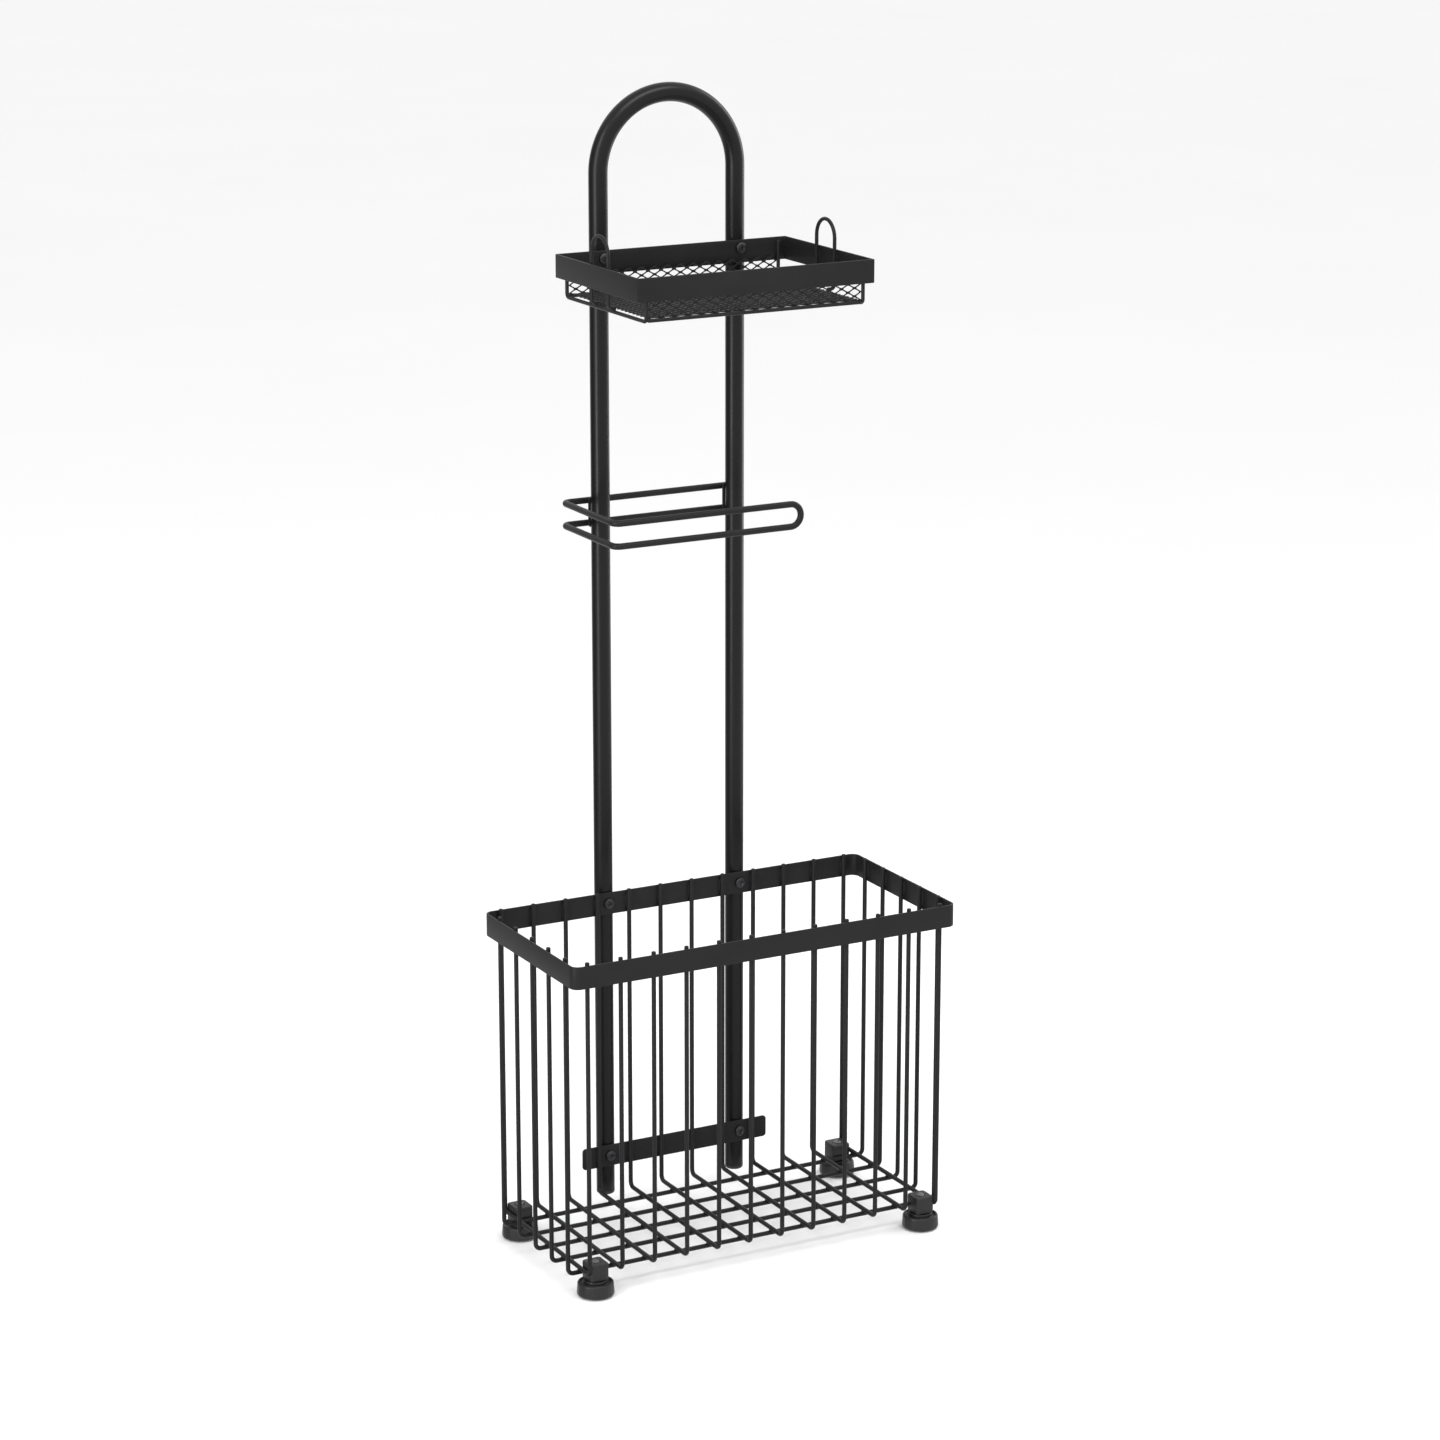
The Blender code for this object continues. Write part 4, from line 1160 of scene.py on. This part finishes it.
def screw_mesh():
    """A pan-head screw: its own Z points out of the head, and the seat is at Z = 0."""
    head, shank, length = 3.75 * MM, 2.0 * MM, 8.0 * MM
    neck = -0.2 * MM
    profile = [(0.0, HEAD_HEIGHT)]
    steps = 8
    for step in range(1, steps + 1):
        angle = math.radians(11.0 * step)
        profile.append((head * math.sin(angle) ** 0.9 if step < steps else head,
                        HEAD_HEIGHT * (0.42 + 0.58 * math.cos(angle) ** 0.8)))
    profile += [(head, HEAD_HEIGHT * 0.18), (head - 0.15 * MM, 0.0), (shank + 0.15 * MM, 0.0),
                (shank, neck), (0.0, neck)]
    form = Form()
    add_turned(form, Vector(), Z_AXIS, profile, 40)
    recess = moved(cross_recess(), Matrix.Translation(Z_AXIS * HEAD_HEIGHT))
    top = carved(form.mesh("screw_head"), [recess], 30.0)
    thread = Form()
    add_thread(thread, Vector(), Z_AXIS, shank, 0.28 * MM, sizes().screw_pitch, -length, -0.1 * MM, 24)
    shank_mesh = thread.mesh("screw_thread", 50.0)
    return joined("pan_head_screw", [top, shank_mesh], 30.0)


def build_screws():
    """One pan-head screw for each post in each of the four rows."""
    pattern = screw_mesh()
    chance = random.Random(3)
    for stem, direction in SCREW_ROWS.values():
        for side in SIDES:
            node = f"{stem}_{side}"
            centre = middle(node)
            seat = low(node).y + HEAD_HEIGHT if direction < 0 else high(node).y - HEAD_HEIGHT
            tilt = Matrix.Rotation(-direction * math.pi / 2, 4, "X")
            spin = Matrix.Rotation(chance.uniform(0.0, math.pi / 2), 4, "Z")
            place = Matrix.Translation((centre.x, seat, centre.z))
            mesh = moved(pattern.copy(), place @ tilt @ spin)
            put(f"fixed_{node}", mesh, "screw_black", node=node)


# ---------------------------------------------------------------- feet
def build_foot_blocks():
    """The blocks that clip into the corner of two floor wires and carry the studs."""
    clear = BASKET_WIRE / 2 + GAP
    reach = 40.0 * MM
    for place in PLACES:
        node = f"foot_block_{place}"
        row, side = place.split("_")
        centre, size = middle(node), extent(node)
        form = Form()
        add_rounded_box(form, centre, size, 2.4 * MM, 0.45 * MM, 8, 4, top_edge=1.1 * MM)
        cross = CROSS_WIRES[0 if side == "left" else -1]
        long = LONG_WIRES[0 if row == "front" else -1]
        stud = middle(f"foot_stud_{place}")
        cutters = []
        for path in (cross_wire_path(cross), long_wire_path(long)):
            channel = Form()
            add_wire(channel, path, 2 * clear, 20, 0.5 * MM)
            cutters.append(channel.mesh("channel"))
        top = high(node).z
        cutters.append(rod_mesh((stud.x, stud.y, 0.0), (stud.x, stud.y, reach), STUD_HOLE, 32))
        mouth = Form()
        mouth.add_rings([circle(Vector((stud.x, stud.y, top + rise)), X_AXIS, Y_AXIS, radius, 32)
                         for rise, radius in ((-0.6 * MM, 3.2 * MM), (0.2 * MM, 4.0 * MM))])
        cutters.append(mouth.mesh("mouth"))
        mesh = carved(form.mesh(node), cutters, 34.0)
        put(f"clip_{place}", mesh, "foot_plastic", node=node)


def build_foot_bases():
    """The faceted round grips with their collars."""
    facets = sizes().facets
    flat = math.pi / facets
    collar, top = 8.3 * MM, 10.0 * MM
    hollow = 0.008

    def faceted(radius, height, angle):
        if radius < 12.0 * MM or height > top - 0.1 * MM:
            return radius
        away = (angle % (2 * flat)) - flat
        share = (1 / math.cos(away) - 1) / (1 / math.cos(flat) - 1)
        return radius * (1 - hollow * (1 - share))

    for place in PLACES:
        node = f"foot_base_{place}"
        centre = middle(node)
        radius, bore, seat = extent(node).x / 2, STUD_HOLE, PAD_RECESS
        bottom, collar_top = low(node).z, high(node).z
        roof = extent(f"foot_pad_{place}").z + GAP
        profile = [(bore, collar_top - 0.3 * MM), (bore + 0.3 * MM, collar_top),
                   (collar - 0.9 * MM, collar_top), (collar - 0.35 * MM, collar_top - 0.1 * MM),
                   (collar - 0.08 * MM, collar_top - 0.4 * MM), (collar, collar_top - 0.8 * MM),
                   (collar, top - 0.9 * MM), (collar + 0.3 * MM, top - 1.2 * MM),
                   (radius - 2.6 * MM, top - 1.2 * MM), (radius - 2.3 * MM, top - 0.9 * MM),
                   (radius - 2.1 * MM, top - 0.15 * MM), (radius - 1.8 * MM, top),
                   (radius - 1.2 * MM, top - 0.05 * MM), (radius - 0.75 * MM, top - 0.3 * MM),
                   (radius - 0.5 * MM, top - 0.8 * MM), (radius - 0.45 * MM, top - 1.4 * MM),
                   (radius - 0.02 * MM, bottom + 1.5 * MM), (radius - 0.15 * MM, bottom + 0.8 * MM),
                   (radius - 0.5 * MM, bottom + 0.3 * MM), (radius - 1.0 * MM, bottom),
                   (seat + 0.25 * MM, bottom), (seat, bottom + 0.25 * MM), (seat, roof), (bore, roof)]
        form = Form()
        add_turned(form, Vector((centre.x, centre.y, 0)), Z_AXIS, profile, facets * 8, faceted)
        put(f"grip_{place}", form.mesh(node, 32.0), "foot_plastic", f"{place}_foot", node)


def build_foot_studs():
    """The threaded studs, with a rounded upper end."""
    for place in PLACES:
        node = f"foot_stud_{place}"
        centre = middle(node)
        form = Form()
        add_thread(form, Vector((centre.x, centre.y, 0)), Z_AXIS, extent(node).x / 2, 0.45 * MM,
                   sizes().foot_pitch, low(node).z, high(node).z, 32, 1.0 * MM)
        put(f"threaded_stud_{place}", form.mesh(node, 50.0), "stud_zinc", f"{place}_foot", node)


def build_foot_pads():
    """Rubber discs with two rings moulded under them."""
    for place in PLACES:
        node = f"foot_pad_{place}"
        centre = middle(node)
        radius, thick = extent(node).x / 2, extent(node).z
        profile = [(0.0, thick), (radius - 0.3 * MM, thick), (radius, thick - 0.3 * MM),
                   (radius, 0.5 * MM), (radius - 0.15 * MM, 0.15 * MM), (radius - 0.5 * MM, 0.0)]
        for inner, outer in ((6.6, 7.4), (3.0, 3.8)):
            profile += [(outer * MM, 0.0), (outer * MM - 0.15 * MM, 0.35 * MM),
                        (inner * MM + 0.15 * MM, 0.35 * MM), (inner * MM, 0.0)]
        profile.append((0.0, 0.0))
        form = Form()
        add_turned(form, Vector((centre.x, centre.y, 0)), Z_AXIS, profile, 64)
        put(f"rubber_pad_{place}", form.mesh(node), "pad_rubber", f"{place}_pad", node)


# ---------------------------------------------------------------- stage
def area_light(name, place, aim, size, power):
    """A rectangular soft light that looks at a point."""
    light = bpy.data.lights.new(name, "AREA")
    light.shape = "RECTANGLE"
    light.size, light.size_y = size
    light.energy = power
    lamp = bpy.data.objects.new(name, light)
    lamp.location = place
    lamp.rotation_euler = (Vector(aim) - Vector(place)).to_track_quat("-Z", "Y").to_euler()
    bpy.context.scene.collection.objects.link(lamp)


def studio_world(strength, dark_side):
    """Even white light all round; reflections see a soft dark patch on the left, a weaker one right."""
    world = bpy.data.worlds.new("studio_light")
    world.use_nodes = True
    tree = world.node_tree
    background = tree.nodes["Background"]
    background.inputs["Color"].default_value = (1.0, 1.0, 1.0, 1.0)
    direction = tree.nodes.new("ShaderNodeTexCoord").outputs["Generated"]
    light = None
    for turn, depth, spread in ((-128.0, dark_side, 0.70), (112.0, dark_side * 0.55, 0.72)):
        angle = math.radians(turn)
        dot = tree.nodes.new("ShaderNodeVectorMath")
        dot.operation = "DOT_PRODUCT"
        dot.inputs[1].default_value = (math.sin(angle), -math.cos(angle), 0.0)
        tree.links.new(direction, dot.inputs[0])
        patch = tree.nodes.new("ShaderNodeMapRange")
        patch.interpolation_type = "SMOOTHSTEP"
        limits = {"From Min": spread, "From Max": 0.97, "To Min": 1.0, "To Max": 1.0 - depth}
        for name, number in limits.items():
            patch.inputs[name].default_value = number
        tree.links.new(dot.outputs["Value"], patch.inputs["Value"])
        if light is None:
            light = patch.outputs["Result"]
        else:
            product = tree.nodes.new("ShaderNodeMath")
            product.operation = "MULTIPLY"
            tree.links.new(light, product.inputs[0])
            tree.links.new(patch.outputs["Result"], product.inputs[1])
            light = product.outputs["Value"]
    seen = tree.nodes.new("ShaderNodeMix")
    path = tree.nodes.new("ShaderNodeLightPath")
    tree.links.new(path.outputs["Is Glossy Ray"], seen.inputs["Factor"])
    seen.inputs["A"].default_value = 1.0
    tree.links.new(light, seen.inputs["B"])
    scaled = tree.nodes.new("ShaderNodeMath")
    scaled.operation = "MULTIPLY"
    scaled.inputs[1].default_value = strength
    tree.links.new(seen.outputs["Result"], scaled.inputs[0])
    tree.links.new(scaled.outputs["Value"], background.inputs["Strength"])
    return world


def build_stage():
    """Pale floor, soft studio light, and the camera."""
    scene = bpy.context.scene
    stage = scene.holder_stage
    half = 14.0
    floor = bpy.data.meshes.new("studio_floor")
    floor.from_pydata([(-half, -half, 0), (half, -half, 0), (half, half, 0), (-half, half, 0)], [],
                      [(0, 1, 2, 3)])
    ground = bpy.data.objects.new("studio_floor", floor)
    ground.location.z = -0.1 * MM
    floor.materials.append(floor_finish("studio_floor", stage.floor_colour))
    ground.visible_glossy = False
    scene.collection.objects.link(ground)
    scene.world = studio_world(stage.sky, stage.dark_side)

    lamp_level, lamp_distance, lamp_height = 0.92, 1.35, 1.76
    for name, turn, power, width in (("key_light", -68.0, stage.key, 0.34),
                                     ("fill_light", 100.0, stage.fill, 0.45)):
        angle = math.radians(turn)
        place = Vector((math.sin(angle), -math.cos(angle), 0.0)) * lamp_distance + Z_AXIS * lamp_level
        area_light(name, place, (0.0, 0.0, lamp_level), (width, lamp_height), power)
    area_light("top_light", (0.15, -1.0, 2.3), (0.0, 0.0, 0.75), (1.7, 0.6), stage.top)

    camera = bpy.data.objects.new("studio_camera", bpy.data.cameras.new("studio_camera"))
    camera.data.sensor_width = 36.0
    camera.data.lens = stage.lens
    heading = Vector((math.sin(stage.bearing) * math.cos(stage.elevation),
                      math.cos(stage.bearing) * math.cos(stage.elevation), -math.sin(stage.elevation)))
    aim = Vector((0.0, stage.aim_depth, stage.aim_height))
    camera.location = aim - heading * stage.distance
    camera.rotation_euler = heading.to_track_quat("-Z", "Y").to_euler()
    camera.data.clip_start, camera.data.clip_end = 0.05, 100.0
    scene.collection.objects.link(camera)
    scene.camera = camera
    scene.view_settings.view_transform = "Standard"


# ---------------------------------------------------------------- operators
class HOLDER_OT_tube(bpy.types.Operator):
    """Build the bent tube"""

    bl_idname = "holder.tube"
    bl_label = "Bent Tube"

    def execute(self, context):
        build_tube()
        return {"FINISHED"}


class HOLDER_OT_plugs(bpy.types.Operator):
    """Build the plugs in the tube's lower ends"""

    bl_idname = "holder.plugs"
    bl_label = "Tube Plugs"

    def execute(self, context):
        build_plugs()
        return {"FINISHED"}


class HOLDER_OT_basket_wires(bpy.types.Operator):
    """Build the basket's cross wires and long wires"""

    bl_idname = "holder.basket_wires"
    bl_label = "Basket Wires"

    def execute(self, context):
        build_basket_wires()
        return {"FINISHED"}


class HOLDER_OT_basket_rim(bpy.types.Operator):
    """Build the basket's flat-bar rim"""

    bl_idname = "holder.basket_rim"
    bl_label = "Basket Rim"

    def execute(self, context):
        build_basket_rim()
        return {"FINISHED"}


class HOLDER_OT_tie_bar(bpy.types.Operator):
    """Build the bar that ties the posts to the basket's back"""

    bl_idname = "holder.tie_bar"
    bl_label = "Tie Bar"

    def execute(self, context):
        build_tie_bar()
        return {"FINISHED"}


class HOLDER_OT_basket_welds(bpy.types.Operator):
    """Build the basket's welds"""

    bl_idname = "holder.basket_welds"
    bl_label = "Basket Welds"

    def execute(self, context):
        build_basket_welds()
        return {"FINISHED"}


class HOLDER_OT_shelf_rim(bpy.types.Operator):
    """Build the shelf's mitred rim"""

    bl_idname = "holder.shelf_rim"
    bl_label = "Shelf Rim"

    def execute(self, context):
        build_shelf_rim()
        return {"FINISHED"}


class HOLDER_OT_shelf_mesh(bpy.types.Operator):
    """Build the shelf's expanded mesh"""

    bl_idname = "holder.shelf_mesh"
    bl_label = "Shelf Mesh"

    def execute(self, context):
        build_shelf_mesh()
        return {"FINISHED"}


class HOLDER_OT_shelf_wires(bpy.types.Operator):
    """Build the shelf's wires and guard loops"""

    bl_idname = "holder.shelf_wires"
    bl_label = "Shelf Wires"

    def execute(self, context):
        build_shelf_wires()
        return {"FINISHED"}


class HOLDER_OT_shelf_welds(bpy.types.Operator):
    """Build the shelf's welds"""

    bl_idname = "holder.shelf_welds"
    bl_label = "Shelf Welds"

    def execute(self, context):
        build_shelf_welds()
        return {"FINISHED"}


class HOLDER_OT_roll_arm(bpy.types.Operator):
    """Build the double-wire roll arm"""

    bl_idname = "holder.roll_arm"
    bl_label = "Roll Arm"

    def execute(self, context):
        build_roll_arm()
        return {"FINISHED"}


class HOLDER_OT_arm_plates(bpy.types.Operator):
    """Build the roll arm's plates and welds"""

    bl_idname = "holder.arm_plates"
    bl_label = "Arm Plates"

    def execute(self, context):
        build_arm_plates()
        return {"FINISHED"}


class HOLDER_OT_screws(bpy.types.Operator):
    """Build the pan-head screws"""

    bl_idname = "holder.screws"
    bl_label = "Screws"

    def execute(self, context):
        build_screws()
        return {"FINISHED"}


class HOLDER_OT_foot_blocks(bpy.types.Operator):
    """Build the clip blocks of the feet"""

    bl_idname = "holder.foot_blocks"
    bl_label = "Foot Blocks"

    def execute(self, context):
        build_foot_blocks()
        return {"FINISHED"}


class HOLDER_OT_foot_bases(bpy.types.Operator):
    """Build the turning grips of the feet"""

    bl_idname = "holder.foot_bases"
    bl_label = "Foot Grips"

    def execute(self, context):
        build_foot_bases()
        return {"FINISHED"}


class HOLDER_OT_foot_studs(bpy.types.Operator):
    """Build the threaded studs of the feet"""

    bl_idname = "holder.foot_studs"
    bl_label = "Foot Studs"

    def execute(self, context):
        build_foot_studs()
        return {"FINISHED"}


class HOLDER_OT_foot_pads(bpy.types.Operator):
    """Build the rubber pads of the feet"""

    bl_idname = "holder.foot_pads"
    bl_label = "Foot Pads"

    def execute(self, context):
        build_foot_pads()
        return {"FINISHED"}


class HOLDER_OT_stage(bpy.types.Operator):
    """Build the floor, the lights and the camera"""

    bl_idname = "holder.stage"
    bl_label = "Stage"

    def execute(self, context):
        build_stage()
        return {"FINISHED"}


OPERATORS = (
    HOLDER_OT_stage,
    HOLDER_OT_tube,
    HOLDER_OT_plugs,
    HOLDER_OT_basket_wires,
    HOLDER_OT_basket_rim,
    HOLDER_OT_tie_bar,
    HOLDER_OT_basket_welds,
    HOLDER_OT_shelf_rim,
    HOLDER_OT_shelf_mesh,
    HOLDER_OT_shelf_wires,
    HOLDER_OT_shelf_welds,
    HOLDER_OT_roll_arm,
    HOLDER_OT_arm_plates,
    HOLDER_OT_screws,
    HOLDER_OT_foot_blocks,
    HOLDER_OT_foot_bases,
    HOLDER_OT_foot_studs,
    HOLDER_OT_foot_pads,
)


class HOLDER_PT_panel(bpy.types.Panel):
    """Lists the pieces, in building order"""

    bl_idname = "HOLDER_PT_panel"
    bl_label = "Toilet Paper Holder"
    bl_space_type = "VIEW_3D"
    bl_region_type = "UI"
    bl_category = "Holder"

    def draw(self, context):
        for operator in OPERATORS:
            self.layout.operator(operator.bl_idname)
        scene = context.scene
        for group in (scene.holder_sizes, scene.holder_colours, scene.holder_stage):
            box = self.layout.box()
            for name in group.__annotations__:
                box.prop(group, name)


CLASSES = (HolderSizes, HolderColours, HolderStage, *OPERATORS, HOLDER_PT_panel)


def register():
    """Register the settings, the operators and the panel."""
    for cls in CLASSES:
        bpy.utils.register_class(cls)
    bpy.types.Scene.holder_sizes = PointerProperty(type=HolderSizes)
    bpy.types.Scene.holder_colours = PointerProperty(type=HolderColours)
    bpy.types.Scene.holder_stage = PointerProperty(type=HolderStage)


def unregister():
    """Take them all out again."""
    del bpy.types.Scene.holder_stage
    del bpy.types.Scene.holder_colours
    del bpy.types.Scene.holder_sizes
    for cls in reversed(CLASSES):
        bpy.utils.unregister_class(cls)


def main():
    """Build every piece in order."""
    register()
    for operator in OPERATORS:
        group, name = operator.bl_idname.split(".")
        getattr(getattr(bpy.ops, group), name)()


if __name__ == "__main__":
    main()
